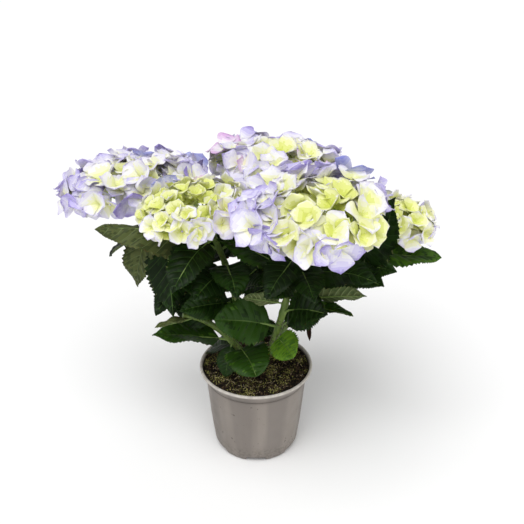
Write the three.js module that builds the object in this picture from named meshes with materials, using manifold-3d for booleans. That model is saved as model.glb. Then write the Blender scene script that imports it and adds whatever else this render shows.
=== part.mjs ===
// Potted mophead hydrangea: a plastic grower's pot of moist compost, a short forked woody base, five canes
// that arch outwards, and on each cane a mass of leaves below one domed flower head. A low shoot at the left
// fills the foot.
// Millimetres, +Z up, origin at the centre of the pot's underside.
import * as THREE from "three";
import { mergeVertices } from "three/addons/utils/BufferGeometryUtils.js";
import Module from "manifold-3d";

const wasm = await Module();
wasm.setup();

// Clearance between pieces that touch.
const GAP = 0.3;
const MERGE = 1e-4;

// Pot: outer profile from the foot to the rolled lip.
const POT_HEIGHT = 107;
const POT_WALL = 1.3;
const FLOOR_THICK = 1.6;
const FOOT_RADIUS = 45;
const HEEL_RADIUS = 49.2;
const HEEL_HEIGHT = 8;
const WAIST_RADIUS = 53.6;
const WAIST_HEIGHT = 45;
const COLLAR_RADIUS = 57.6;
const COLLAR_HEIGHT = 93;
const COLLAR_STEP = 0.7;
const LIP_RADIUS = 65;
const LIP_TALL = 3;
const LIP_THICK = 3;
// The collar above the step flares out to the lip: radius, height.
const FLARE = [
  [58.8, 96.4],
  [60.4, 99.8],
  [62.6, 102.6],
];
const POT_SIDES = 36;
const NOTCHES = 6;
const NOTCH_WIDE = 21;
const NOTCH_TALL = 6;
const NOTCH_DEEP = 9;

// Compost: filled to a little below the lip, flat where the plant stands.
const GROUND = 102;
const SOIL_BUMP = 1.6;
const CROWN_FLAT = 17;

// Stems: all rise from one crown and share one taper.
const CROWN_TALL = 11;
const STEM_FOOT = 3;
const CROWN_RADIUS = [11.5, 7.5];
const CROWN_SPREAD = 6;
const CANE_RADIUS = [4.7, 2.5];
const STEM_SIDES = 6;
// Two points that bend a stem, as shares of its level reach and of its rise.
const ARCH = { near: [0.22, 0.42], far: [0.58, 0.88] };
const LOW_ARCH = { near: [0.5, 0.26], far: [0.62, 0.84] };
// Place along a stem where the flower head's own stalk takes over from the leaf mass.
const HEAD_STEM = 0.9;

// Leaves: a petiole, then an ovate blade with a raised midrib.
const LEAF_ASPECT = 0.32;
const LEAF_THICK = 0.008;
const PETIOLE_SHARE = 0.16;
const PETIOLE_RADIUS = 1.5;
const LEAF_ROWS = [0.0, PETIOLE_SHARE, 0.28, 0.5, 0.73, 0.9, 1.0];
const LEAF_FOLD = 0.3;
const MIDRIB_STEPS = 20;

// Room that a leaf keeps to what is already there.
const ROOM = { leaf: 5.4, sister: 2.6, cane: 6, head: 6.5, pot: 4 };
// How far, in degrees, a leaf strays from its pair's bearing and lift, and what it then tries to find room.
const DRIFT = 6;
const RISE = 4;
const TRY_LIFTS = [0, -12, 12, -24];
const TRY_TURNS = [0, 12, -12, 24, -24, 38, -38];

// Florets: four broad sepals round a dimple, on a tapering foot that is sunk in the head's core.
const FLORET_SINK = 11;
const CORE_INSET = 7;
const CORE_UNDERSIDE = 0.42;
const HEAD_UNDERSIDE = 0.6;
const SEPALS = 4;
const RIM_POINTS = SEPALS * 2;
const NOTCH_REACH = 0.58;
const SEPAL_LIFT = 0.2;
const DOME_END = -0.3;
const HEAD_MARGIN = 0.035;
const RAYS = 5;

// The five flower heads: centre, half sizes, lean of the dome (towards +X, towards +Y) in degrees,
// number of florets and reach of one floret.
const HEADS = {
  left: { centre: [-137, 60, 305], half: [78, 54, 31], lean: [-10, 2], florets: 33, reach: 18 },
  front_left: { centre: [-60, -32, 319], half: [57, 52, 29], lean: [-6, -2], florets: 30, reach: 15 },
  back: { centre: [24, 84, 318], half: [80, 62, 36], lean: [8, 6], florets: 35, reach: 18 },
  front_right: { centre: [55, -67, 330], half: [76, 68, 40], lean: [2, -2], florets: 41, reach: 18.5 },
  right: { centre: [156, 30, 274], half: [39, 35, 27], lean: [14, 0], florets: 18, reach: 17 },
};

// Stems: where each ends, where along it wood turns to cane and cane to leaf mass, and its leaf pairs.
// A pair is [place along the stem, bearing of its first leaf, lengths of the two, lift, droop, roll], then
// the fold of its blades and their half width for their length where these are other than usual.
const STEMS = {
  left: {
    end: [-133, 58, 295],
    wood: 0.16,
    enter: 0.34,
    pairs: [
      [0.8, 282, 122, 90, -12, 50, 0, -0.95],
      [0.84, 242, 92, 84, -38, 50, 0],
      [0.47, 250, 84, 84, 24, 60, -15],
      [0.56, 160, 100, 90, 20, 70, 0],
      [0.66, 150, 96, 90, 10, 60, 0],
      [0.6, 96, 84, 70, 10, 70, 0],
      [0.88, 112, 84, 80, 0, 50, 0],
      [0.37, 240, 72, 80, 20, 30, -40],
    ],
  },
  front_left: {
    end: [-58, -30, 310],
    wood: 0.16,
    enter: 0.32,
    pairs: [
      [0.67, 189, 134, 90, 34, 36, -14, -0.8, 0.23],
      [0.42, 215, 82, 76, 34, 20, -48],
      [0.35, 211, 70, 60, 20, 20, -50],
      [0.38, 316, 66, 70, 44, 40, 30],
      [0.58, 280, 80, 80, 22, 40, 0],
      [0.52, 245, 80, 76, 30, 44, -30],
      [0.76, 262, 84, 80, 4, 50, -10],
      [0.83, 215, 80, 78, 0, 44, -15],
    ],
  },
  back: {
    end: [22, 82, 306],
    wood: 0.16,
    enter: 0.26,
    pairs: [
      [0.7, 126, 108, 96, 12, 62, 0],
      [0.6, 52, 108, 96, 18, 64, 0],
      [0.78, 78, 100, 92, 4, 54, 0],
      [0.5, 112, 104, 88, 24, 70, 0],
      [0.4, 56, 92, 84, 26, 74, 0],
      [0.3, 122, 76, 70, 24, 70, 0],
      [0.84, 8, 88, 84, -2, 44, 0],
    ],
  },
  front_right: {
    end: [57, -65, 314],
    wood: 0.16,
    enter: 0.25,
    arch: LOW_ARCH,
    pairs: [
      [0.47, 193, 48, 48, 22, 6, 66],
      [0.33, 195, 80, 56, 29, 16, -55, 0.3, 0.38],
      [0.27, 303, 46, 28, 14, 30, 35, 0.3, 0.46],
      [0.42, 328, 84, 78, 38, 24, 55],
      [0.64, 329, 96, 88, 26, 30, 20],
      [0.6, 235, 70, 80, 30, 30, -40],
      [0.72, 285, 70, 86, 6, 24, 10],
      [0.79, 225, 70, 80, -6, 24, -10],
    ],
  },
  right: {
    end: [154, 29, 264],
    wood: 0.16,
    enter: 0.34,
    pairs: [
      [0.76, 359, 96, 70, -4, 0, 10],
      [0.74, 304, 116, 80, 32, -50, 90],
      [0.55, 320, 84, 80, 34, 40, 20],
      [0.42, 342, 70, 66, 20, 10, -60],
      [0.38, 318, 60, 60, 2, 10, -10],
      [0.66, 355, 66, 60, 17, 20, 45],
      [0.48, 40, 92, 88, 12, 40, 20],
      [0.62, 66, 92, 70, 8, 60, 0],
      [0.37, 303, 44, 30, -26, 74, 60, 0.6, 0.12],
    ],
  },
  low_left: {
    end: [-78, -36, 195],
    wood: 0.2,
    enter: 0.2,
    pairs: [
      [0.26, 290, 60, 46, 26, 56, 10, 0.3, 0.5],
      [0.38, 192, 90, 46, 18, 10, 0],
      [0.36, 251, 41, 40, -46, 20, 0, 0.3, 0.38],
      [0.6, 215, 54, 40, 56, 30, -60],
      [0.86, 190, 46, 26, -2, 0, 20],
    ],
  },
};

const ROUGHNESS = { pot: 0.55, soil: 0.95, wood: 0.85, cane: 0.6, leaf: 0.4, flower: 0.7 };
const COLOUR = {
  pot: "#8f8883",
  soil: "#2a2119",
  wood: "#4a3324",
  cane: "#5c7a35",
  leaf: "#24491f",
  flower: "#cfd0a8",
  flower_lilac: "#b9a9d8",
};

const DEGREE = Math.PI / 180;
const GOLDEN = Math.PI * (3 - Math.sqrt(5));

// Small repeatable source of numbers from 0 to 1.
function makeRandom(seed) {
  let state = seed;
  return () => {
    state = (state * 1664525 + 1013904223) % 4294967296;
    return state / 4294967296;
  };
}

function material(colour, roughness) {
  return new THREE.MeshStandardMaterial({ color: colour, roughness, metalness: 0 });
}

// A closed geometry as a solid, without the triangles that shrank to nothing at an axis.
function solid(geometry) {
  const bare = geometry.clone();
  bare.deleteAttribute("normal");
  bare.deleteAttribute("uv");
  const merged = mergeVertices(bare, MERGE);
  const kept = [];
  const index = merged.index.array;
  for (let i = 0; i < index.length; i += 3) {
    const [a, b, c] = [index[i], index[i + 1], index[i + 2]];
    if (a !== b && b !== c && c !== a) kept.push(a, b, c);
  }
  return new wasm.Manifold(
    new wasm.Mesh({
      numProp: 3,
      vertProperties: merged.attributes.position.array,
      triVerts: new Uint32Array(kept),
    }),
  );
}

// All solids joined, halves first, so that no step grows large early.
function fuse(solids) {
  if (solids.length === 1) return solids[0];
  const middle = solids.length >> 1;
  return fuse(solids.slice(0, middle)).add(fuse(solids.slice(middle)));
}

// The one outer body: sealed hollows are filled and loose scraps dropped.
function oneBody(joined) {
  return joined.decompose().reduce((best, body) => (body.volume() > best.volume() ? body : best));
}

function meshOf(name, body, look) {
  const made = body.getMesh();
  const geometry = new THREE.BufferGeometry();
  const points = new Float32Array(made.numVert * 3);
  for (let i = 0; i < made.numVert; i++) {
    points.set(made.vertProperties.subarray(i * made.numProp, i * made.numProp + 3), i * 3);
  }
  geometry.setAttribute("position", new THREE.BufferAttribute(points, 3));
  geometry.setIndex(new THREE.BufferAttribute(new Uint32Array(made.triVerts), 1));
  geometry.computeVertexNormals();
  const mesh = new THREE.Mesh(geometry, look);
  mesh.name = name;
  return mesh;
}

function moveVertices(geometry, move) {
  const position = geometry.attributes.position;
  const point = new THREE.Vector3();
  for (let i = 0; i < position.count; i++) {
    const moved = move(point.fromBufferAttribute(position, i));
    position.setXYZ(i, moved.x, moved.y, moved.z);
  }
  return geometry;
}

// LatheGeometry turns about Y; the object stands along Z.
function lathe(profile, sides) {
  const points = profile.map(([radius, height]) => new THREE.Vector2(radius, height));
  return new THREE.LatheGeometry(points, sides).rotateX(Math.PI / 2);
}

// ---------------------------------------------------------------- pot and compost

function outerProfile() {
  return [
    [FOOT_RADIUS, 0],
    [HEEL_RADIUS - 1.6, HEEL_HEIGHT * 0.3],
    [HEEL_RADIUS, HEEL_HEIGHT],
    [WAIST_RADIUS, WAIST_HEIGHT],
    [COLLAR_RADIUS, COLLAR_HEIGHT],
    [COLLAR_RADIUS + COLLAR_STEP, COLLAR_HEIGHT + COLLAR_STEP],
    ...FLARE,
    [LIP_RADIUS - 0.8, POT_HEIGHT - LIP_TALL],
    [LIP_RADIUS, POT_HEIGHT - LIP_TALL / 2],
    [LIP_RADIUS - 0.8, POT_HEIGHT],
  ];
}

function innerProfile(inset) {
  return [
    [FOOT_RADIUS - inset, FLOOR_THICK],
    [HEEL_RADIUS - inset, HEEL_HEIGHT],
    [WAIST_RADIUS - inset, WAIST_HEIGHT],
    [COLLAR_RADIUS - inset, COLLAR_HEIGHT],
    ...FLARE.map(([radius, height]) => [radius - inset, height]),
    [LIP_RADIUS + POT_WALL - LIP_THICK - inset, POT_HEIGHT],
  ];
}

// Inner radius of the pot at a height, by straight lines between the profile's points.
function innerRadius(height, inset) {
  const profile = innerProfile(inset);
  const i = profile.findIndex(([, above]) => above > height);
  const [low, high] = [profile[i - 1], profile[i]];
  return low[0] + ((high[0] - low[0]) * (height - low[1])) / (high[1] - low[1]);
}

function makePot() {
  const inside = innerProfile(POT_WALL).reverse();
  const shell = solid(lathe([[0, 0], ...outerProfile(), ...inside, [0, FLOOR_THICK]], POT_SIDES));
  const notches = [];
  for (let i = 0; i < NOTCHES; i++) {
    const turn = ((i + 0.5) / NOTCHES) * 2 * Math.PI;
    const notch = new THREE.BoxGeometry(NOTCH_DEEP * 2, NOTCH_WIDE, NOTCH_TALL * 2);
    notch.translate(HEEL_RADIUS, 0, 0).rotateZ(turn);
    notches.push(solid(notch));
  }
  return oneBody(shell.subtract(fuse(notches)));
}

function makeSoil() {
  const below = FLOOR_THICK + NOTCH_TALL;
  const edge = GROUND - 1.5;
  const side = innerProfile(POT_WALL + GAP).filter(([, height]) => height > below && height < edge);
  const profile = [
    [0, FLOOR_THICK + GAP],
    [FOOT_RADIUS - NOTCH_DEEP + 3, FLOOR_THICK + GAP],
    [FOOT_RADIUS - POT_WALL - GAP - 0.5, below],
    ...side,
    [innerRadius(edge, POT_WALL + GAP), edge],
    [48, GROUND],
    [36, GROUND],
    [25, GROUND],
    [CROWN_FLAT, GROUND],
    [0, GROUND],
  ];
  const heap = moveVertices(lathe(profile, POT_SIDES), (p) => {
    const radius = Math.hypot(p.x, p.y);
    if (p.z < GROUND - 0.01 || radius < CROWN_FLAT + 1) return p;
    const lump = Math.sin(p.x * 0.31 + 1) * Math.cos(p.y * 0.27) + Math.sin(p.y * 0.53 - p.x * 0.4);
    return p.setZ(p.z + lump * SOIL_BUMP);
  });
  return solid(heap);
}

// ---------------------------------------------------------------- stems

function vector([x, y, z]) {
  return new THREE.Vector3(x, y, z);
}

// One arching curve from the crown to the stem's end.
function stemCurve({ end, arch = ARCH }) {
  const bearing = Math.atan2(end[1], end[0]);
  const foot = new THREE.Vector3(
    Math.cos(bearing) * CROWN_SPREAD,
    Math.sin(bearing) * CROWN_SPREAD,
    GROUND + STEM_FOOT,
  );
  const tip = vector(end);
  const along = ([level, up]) =>
    new THREE.Vector3(
      foot.x + (tip.x - foot.x) * level,
      foot.y + (tip.y - foot.y) * level,
      foot.z + (tip.z - foot.z) * up,
    );
  return new THREE.CubicBezierCurve3(foot, along(arch.near), along(arch.far), tip);
}

function caneRadius(t) {
  return CANE_RADIUS[0] + (CANE_RADIUS[1] - CANE_RADIUS[0]) * t;
}

// Directions across a curve that climbs: one level, one square to it.
function across(direction) {
  const level = new THREE.Vector3(-direction.y, direction.x, 0);
  if (level.lengthSq() < 1e-6) level.set(1, 0, 0);
  level.normalize();
  return [level, level.clone().cross(direction)];
}

// A capped tapering tube along part of a curve.
function taperedTube(curve, from, to, radiusAt, sides, steps) {
  const tube = new THREE.CylinderGeometry(1, 1, 1, sides, steps);
  moveVertices(tube, (p) => {
    const t = from + (to - from) * (p.y + 0.5);
    const [level, square] = across(curve.getTangent(t));
    const radius = radiusAt(t);
    return curve
      .getPoint(t)
      .addScaledVector(level, p.x * radius)
      .addScaledVector(square, p.z * radius);
  });
  return solid(tube);
}

function stemSolid(curve, from, to, steps) {
  return taperedTube(curve, from, to, caneRadius, STEM_SIDES, steps);
}

// The share of a curve that a clearance takes.
function gapShare(curve) {
  return GAP / curve.getLength();
}

function makeWoodyBase(curves) {
  const foot = new THREE.LineCurve3(
    new THREE.Vector3(0, 0, GROUND + GAP),
    new THREE.Vector3(0, 0, GROUND + GAP + CROWN_TALL),
  );
  const flare = (t) => CROWN_RADIUS[0] + (CROWN_RADIUS[1] - CROWN_RADIUS[0]) * Math.sqrt(t);
  const pieces = [taperedTube(foot, 0, 1, flare, 12, 4)];
  for (const [name, curve] of Object.entries(curves)) {
    pieces.push(stemSolid(curve, 0, STEMS[name].wood, 3));
  }
  return oneBody(fuse(pieces));
}

// ---------------------------------------------------------------- leaves

// Half width of an ovate blade at a share of its length, as a share of the widest.
function ovate(u) {
  if (u <= 0) return 0;
  return Math.pow(Math.max(0, 1 - Math.pow(2 * Math.pow(u, 0.75) - 1, 2)), 0.9);
}

// Midrib of a leaf: it leaves the stem at a lift and bends down evenly towards its tip.
function midrib(leaf) {
  const heading = leaf.bearing * DEGREE;
  const points = [leaf.root.clone()];
  const step = leaf.length / MIDRIB_STEPS;
  for (let i = 0; i < MIDRIB_STEPS; i++) {
    const pitch = (leaf.lift - (leaf.droop * (i + 0.5)) / MIDRIB_STEPS) * DEGREE;
    const next = points[i].clone();
    next.x += Math.cos(pitch) * Math.cos(heading) * step;
    next.y += Math.cos(pitch) * Math.sin(heading) * step;
    next.z += Math.sin(pitch) * step;
    points.push(next);
  }
  return points;
}

// A point of a leaf: s along it, v across it from -1 to 1, and h half thicknesses above the blade.
function leafPoint(leaf, rib, s, v, h) {
  const at = Math.min(MIDRIB_STEPS - 1e-9, s * MIDRIB_STEPS);
  const i = Math.floor(at);
  const point = rib[i].clone().lerp(rib[i + 1], at - i);
  const heading = leaf.bearing * DEGREE;
  const pitch = (leaf.lift - leaf.droop * s) * DEGREE;
  const roll = leaf.roll * DEGREE;
  const side = new THREE.Vector3(-Math.sin(heading), Math.cos(heading), 0);
  const along = new THREE.Vector3(
    Math.cos(pitch) * Math.cos(heading),
    Math.cos(pitch) * Math.sin(heading),
    Math.sin(pitch),
  );
  const up = along.cross(side);
  const rolledSide = side.clone().multiplyScalar(Math.cos(roll)).addScaledVector(up, Math.sin(roll));
  const rolledUp = up.multiplyScalar(Math.cos(roll)).addScaledVector(side, -Math.sin(roll));
  const share = (s - PETIOLE_SHARE) / (1 - PETIOLE_SHARE);
  const blade = leaf.length * (1 - PETIOLE_SHARE);
  const half = Math.max(blade * leaf.aspect * ovate(share), s < 1 ? PETIOLE_RADIUS : 0);
  const fold = share > 0 ? leaf.fold : 0;
  const thick = share > 0.02 ? leaf.length * LEAF_THICK : PETIOLE_RADIUS;
  point.addScaledVector(rolledSide, v * half * Math.cos(fold));
  point.addScaledVector(rolledUp, Math.abs(v) * half * Math.sin(fold) + h * thick);
  return point;
}

function leafSamples(leaf) {
  const rib = midrib(leaf);
  const samples = [];
  for (let i = 0; i <= 12; i++) {
    const s = PETIOLE_SHARE + ((1 - PETIOLE_SHARE) * i) / 12;
    for (let j = -3; j <= 3; j++) samples.push(leafPoint(leaf, rib, s, j / 3, 0));
  }
  return samples;
}

function leafSolid(leaf) {
  const rib = midrib(leaf);
  const rows = LEAF_ROWS.length - 1;
  const blade = new THREE.ConeGeometry(1, 1, 4, rows);
  moveVertices(blade, (p) => {
    const t = p.y + 0.5;
    const wide = 1 - t;
    const v = wide > 1e-6 ? p.x / wide : 0;
    const h = wide > 1e-6 ? -p.z / wide : 0;
    return leafPoint(leaf, rib, LEAF_ROWS[Math.round(t * rows)], v, h);
  });
  return solid(blade);
}

// ---------------------------------------------------------------- flower heads

// Turns from a head's own axes to the object's.
function headTurn(head) {
  return new THREE.Matrix4().makeRotationFromEuler(
    new THREE.Euler(-head.lean[1] * DEGREE, head.lean[0] * DEGREE, 0),
  );
}

// How far out a point lies in a head: 1 on the dome's surface, with an extra thickness if given.
function headReach(head, point, extra = 0) {
  const inside = headTurn(head).transpose();
  const p = point.clone().sub(vector(head.centre)).applyMatrix4(inside);
  const [a, b, c] = head.half;
  const tall = p.z < 0 ? c * HEAD_UNDERSIDE : c;
  return Math.hypot(p.x / (a + extra), p.y / (b + extra), p.z / (tall + extra));
}

// Florets spread evenly over a flattened dome, from its top to a little below its widest.
function domeHeights(head) {
  const [a, b, c] = head.half;
  const wide = (a + b) / 2;
  const slices = 200;
  const sums = [0];
  for (let i = 0; i < slices; i++) {
    const u = 1 - ((1 - DOME_END) * (i + 0.5)) / slices;
    sums.push(sums[i] + Math.sqrt(wide * wide * u * u + c * c * (1 - u * u)));
  }
  const heights = [];
  for (let n = 0; n < head.florets; n++) {
    const want = (sums[slices] * (n + 0.5)) / head.florets;
    const i = sums.findIndex((sum) => sum >= want);
    heights.push(1 - ((1 - DOME_END) * i) / slices);
  }
  return heights;
}

function florets(head) {
  const turn = headTurn(head);
  const [a, b, c] = head.half;
  const random = makeRandom(head.florets * 101);
  return domeHeights(head).map((u, n) => {
    const level = Math.sqrt(1 - u * u);
    const angle = n * GOLDEN;
    const x = level * Math.cos(angle);
    const y = level * Math.sin(angle);
    const at = new THREE.Vector3(a * x, b * y, c * u).applyMatrix4(turn).add(vector(head.centre));
    const facing = new THREE.Vector3(x / a, y / b, u / c).normalize().applyMatrix4(turn);
    const reach = head.reach * (0.9 + 0.2 * random());
    return { at, facing, reach, spin: random() * Math.PI };
  });
}

// The rim runs from the notch between two sepals to the tip of the next sepal, and so on round.
function floretRim(floret) {
  const turn = new THREE.Quaternion().setFromUnitVectors(new THREE.Vector3(0, 1, 0), floret.facing);
  const rim = [];
  for (let i = 0; i < RIM_POINTS; i++) {
    const angle = (i / RIM_POINTS) * 2 * Math.PI + floret.spin;
    const tip = i % 2;
    const reach = floret.reach * (tip ? 1 : NOTCH_REACH);
    const lift = floret.reach * (tip ? SEPAL_LIFT : 0);
    const point = new THREE.Vector3(Math.sin(angle) * reach, lift, Math.cos(angle) * reach);
    rim.push(point.applyQuaternion(turn).add(floret.at));
  }
  return rim;
}

function floretSolid(floret) {
  const rim = floretRim(floret);
  const foot = floret.at.clone().addScaledVector(floret.facing, -FLORET_SINK);
  const dimple = floret.at.clone().addScaledVector(floret.facing, -0.06 * floret.reach);
  const flower = new THREE.LatheGeometry(
    [new THREE.Vector2(0, -1), new THREE.Vector2(1, 0), new THREE.Vector2(0, 1)],
    RIM_POINTS,
  );
  moveVertices(flower, (p) => {
    if (p.y < -0.5) return foot;
    if (p.y > 0.5) return dimple;
    const place = Math.round((Math.atan2(p.x, p.z) / (2 * Math.PI)) * RIM_POINTS);
    return rim[(place + RIM_POINTS) % RIM_POINTS];
  });
  return solid(flower);
}

// A floret keeps to its own head's side of the space between two heads.
function keepsToHead(name, floret) {
  const own = HEADS[name];
  const others = Object.entries(HEADS).filter(([other]) => other !== name);
  return [floret.at, ...floretRim(floret)].every((point) =>
    others.every(([, other]) => headReach(own, point) + HEAD_MARGIN < headReach(other, point)),
  );
}

function makeHead(name, curve, from) {
  const head = HEADS[name];
  const [a, b, c] = head.half;
  const centre = vector(head.centre);
  const core = new THREE.SphereGeometry(1, 12, 8).rotateX(Math.PI / 2);
  moveVertices(core, (p) => {
    const down = p.z < 0 ? CORE_UNDERSIDE : 1;
    return p.set((a - CORE_INSET) * p.x, (b - CORE_INSET) * p.y, (c - CORE_INSET) * p.z * down);
  });
  core.applyMatrix4(headTurn(head)).translate(centre.x, centre.y, centre.z);
  const pieces = [solid(core), stemSolid(curve, from, 1, 3)];
  const fork = curve.getPoint(from + 0.03);
  for (let i = 0; i < RAYS; i++) {
    const angle = (2 * Math.PI * (i + 0.3)) / RAYS;
    const out = new THREE.Vector3(Math.cos(angle) * a * 0.5, Math.sin(angle) * b * 0.5, 0);
    const ray = new THREE.LineCurve3(fork, out.applyMatrix4(headTurn(head)).add(centre));
    pieces.push(taperedTube(ray, 0, 1, () => 1.6, 3, 1));
  }
  for (const floret of florets(head)) {
    if (keepsToHead(name, floret)) pieces.push(floretSolid(floret));
  }
  return oneBody(fuse(pieces));
}

// ---------------------------------------------------------------- placing the leaves

function near(samples, others, room) {
  return samples.some((p) => others.some((q) => p.distanceToSquared(q) < room * room));
}

function hitsPot(p) {
  const radius = Math.hypot(p.x, p.y);
  return (radius < LIP_RADIUS + ROOM.pot && p.z < POT_HEIGHT + ROOM.pot) || p.z < WAIST_HEIGHT;
}

function leafFits(samples, name, caneSamples, placed) {
  if (samples.some(hitsPot)) return false;
  const heads = Object.values(HEADS);
  if (samples.some((p) => heads.some((head) => headReach(head, p, ROOM.head) < 1))) return false;
  for (const [other, points] of Object.entries(caneSamples)) {
    if (near(samples, points, other === name ? ROOM.sister : ROOM.cane)) return false;
  }
  return placed.every((leaf) => !near(samples, leaf.samples, leaf.stem === name ? ROOM.sister : ROOM.leaf));
}

// Every leaf of the plant. Pairs are placed in turn on each stem, and a leaf that finds no room near its
// bearing is skipped.
function placeLeaves(curves) {
  const random = makeRandom(2026);
  const caneSamples = {};
  for (const [name, curve] of Object.entries(curves)) {
    caneSamples[name] = curve.getPoints(40);
  }
  const placed = [];
  const most = Math.max(...Object.values(STEMS).map((stem) => stem.pairs.length));
  for (let row = 0; row < most; row++) {
    for (const [name, stem] of Object.entries(STEMS)) {
      if (row >= stem.pairs.length) continue;
      const [t, bearing, first, second, lift, droop, roll] = stem.pairs[row];
      const [fold = LEAF_FOLD, aspect = LEAF_ASPECT] = stem.pairs[row].slice(7);
      for (const [turn, length] of [[0, first], [180, second]]) {
        const drift = (random() - 0.5) * DRIFT;
        const rise = (random() - 0.5) * RISE;
        const tries = TRY_LIFTS.flatMap((tilt) => TRY_TURNS.map((swing) => [tilt, swing]));
        for (const [tilt, swing] of tries) {
          const leaf = {
            stem: name,
            root: curves[name].getPoint(t),
            bearing: bearing + turn + drift + swing,
            length,
            lift: lift + rise + tilt,
            droop,
            roll: turn ? -roll : roll,
            fold,
            aspect,
          };
          leaf.samples = leafSamples(leaf);
          if (leafFits(leaf.samples, name, caneSamples, placed)) {
            placed.push(leaf);
            break;
          }
        }
      }
    }
  }
  return placed;
}

function makeLeafMass(name, curve, to, leaves) {
  const from = STEMS[name].enter + gapShare(curve);
  const pieces = [stemSolid(curve, from, to, 5)];
  for (const leaf of leaves) {
    if (leaf.stem === name) pieces.push(leafSolid(leaf));
  }
  return oneBody(fuse(pieces));
}

// ---------------------------------------------------------------- assembly

const plant = new THREE.Group();
plant.name = "potted_hydrangea";
const look = Object.fromEntries(
  Object.keys(ROUGHNESS).map((key) => [key, material(COLOUR[key], ROUGHNESS[key])]),
);
const lilac = material(COLOUR.flower_lilac, ROUGHNESS.flower);

const curves = Object.fromEntries(Object.entries(STEMS).map(([name, stem]) => [name, stemCurve(stem)]));
const leaves = placeLeaves(curves);

plant.add(meshOf("pot", makePot(), look.pot));
plant.add(meshOf("soil", makeSoil(), look.soil));
plant.add(meshOf("woody_base", makeWoodyBase(curves), look.wood));

for (const [name, curve] of Object.entries(curves)) {
  const stem = STEMS[name];
  const clear = gapShare(curve);
  if (HEADS[name]) {
    plant.add(meshOf("cane_" + name, stemSolid(curve, stem.wood + clear, stem.enter, 5), look.cane));
    plant.add(meshOf("leaves_" + name, makeLeafMass(name, curve, HEAD_STEM, leaves), look.leaf));
    const petals = name === "left" || name === "back" ? lilac : look.flower;
    plant.add(meshOf("flower_head_" + name, makeHead(name, curve, HEAD_STEM + clear), petals));
  } else {
    plant.add(meshOf("leaves_" + name, makeLeafMass(name, curve, 1, leaves), look.leaf));
  }
}

export default plant;
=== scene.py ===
from math import atan2, cos, hypot, pi, radians, sin, sqrt

import bpy
import numpy as np
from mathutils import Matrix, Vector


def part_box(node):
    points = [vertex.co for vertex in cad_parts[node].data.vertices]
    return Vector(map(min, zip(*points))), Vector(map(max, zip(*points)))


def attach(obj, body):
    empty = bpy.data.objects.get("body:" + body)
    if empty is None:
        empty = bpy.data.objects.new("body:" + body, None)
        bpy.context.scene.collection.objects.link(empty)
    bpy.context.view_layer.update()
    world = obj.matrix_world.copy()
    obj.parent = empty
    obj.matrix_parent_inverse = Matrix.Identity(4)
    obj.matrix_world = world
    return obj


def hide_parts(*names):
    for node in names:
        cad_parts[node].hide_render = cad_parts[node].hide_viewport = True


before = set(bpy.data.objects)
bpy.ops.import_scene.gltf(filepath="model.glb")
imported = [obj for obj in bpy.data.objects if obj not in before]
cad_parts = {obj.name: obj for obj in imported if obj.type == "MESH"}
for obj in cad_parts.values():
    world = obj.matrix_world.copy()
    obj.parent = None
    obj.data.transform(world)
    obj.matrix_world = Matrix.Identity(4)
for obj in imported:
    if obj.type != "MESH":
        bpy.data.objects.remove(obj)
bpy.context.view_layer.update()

MM = 0.001
BODY = "root"
GOLDEN = pi * (3 - sqrt(5))

# ---- sizes of the solids, written again

POT_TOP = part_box("pot")[1].z / MM
LIP_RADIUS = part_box("pot")[1].x / MM
FLOOR_THICK = 1.6
NOTCHES = 6
NOTCH_WIDE = 21.0
NOTCH_TALL = 6.0
# The gap between two solids that meet.
GAP = 0.3

GROUND = 102.0
CROWN_TALL = 11.0
STEM_FOOT = 3.0
CROWN_RADIUS = (11.5, 7.5)
CROWN_SPREAD = 6.0
CANE_RADIUS = (4.7, 2.5)
# Where an arching stem bends, as shares of its reach outwards and upwards.
ARCH = ((0.22, 0.42), (0.58, 0.88))
LOW_ARCH = ((0.5, 0.26), (0.62, 0.84))
HEAD_STEM = 0.9

LEAF_ASPECT = 0.32
PETIOLE_SHARE = 0.16
PETIOLE_RADIUS = 1.5
LEAF_FOLD = 0.3
OVATE_LEAN = 0.75
OVATE_POWER = 0.9
# Steps and samples along blades, canes and curves.
MIDRIB_STEPS = 20
SAMPLE_ROWS = 13
SAMPLE_COLUMNS = 7
CANE_SAMPLES = 41
CURVE_SAMPLES = 200
# How much room a blade keeps to other masses' leaves, to its own mass, and to the rest.
ROOM = {"leaf": 5.4, "sister": 2.6, "cane": 6.0, "head": 6.5, "pot": 4.0}
WAIST_HEIGHT = 45.0
# How far a leaf's bearing and lift stray, in degrees.
DRIFT = 6.0
RISE = 4.0
# Other lifts and bearings that a leaf tries where it finds no room.
TRY_LIFTS = (0, -12, 12, -24)
TRY_TURNS = (0, 12, -12, 24, -24, 38, -38)

# A head's underside as a share of its dome's height, where its florets end on the dome, and how far two
# heads keep apart, as a share of their reach.
HEAD_UNDERSIDE = 0.6
DOME_END = -0.3
HEAD_MARGIN = 0.035

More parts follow.
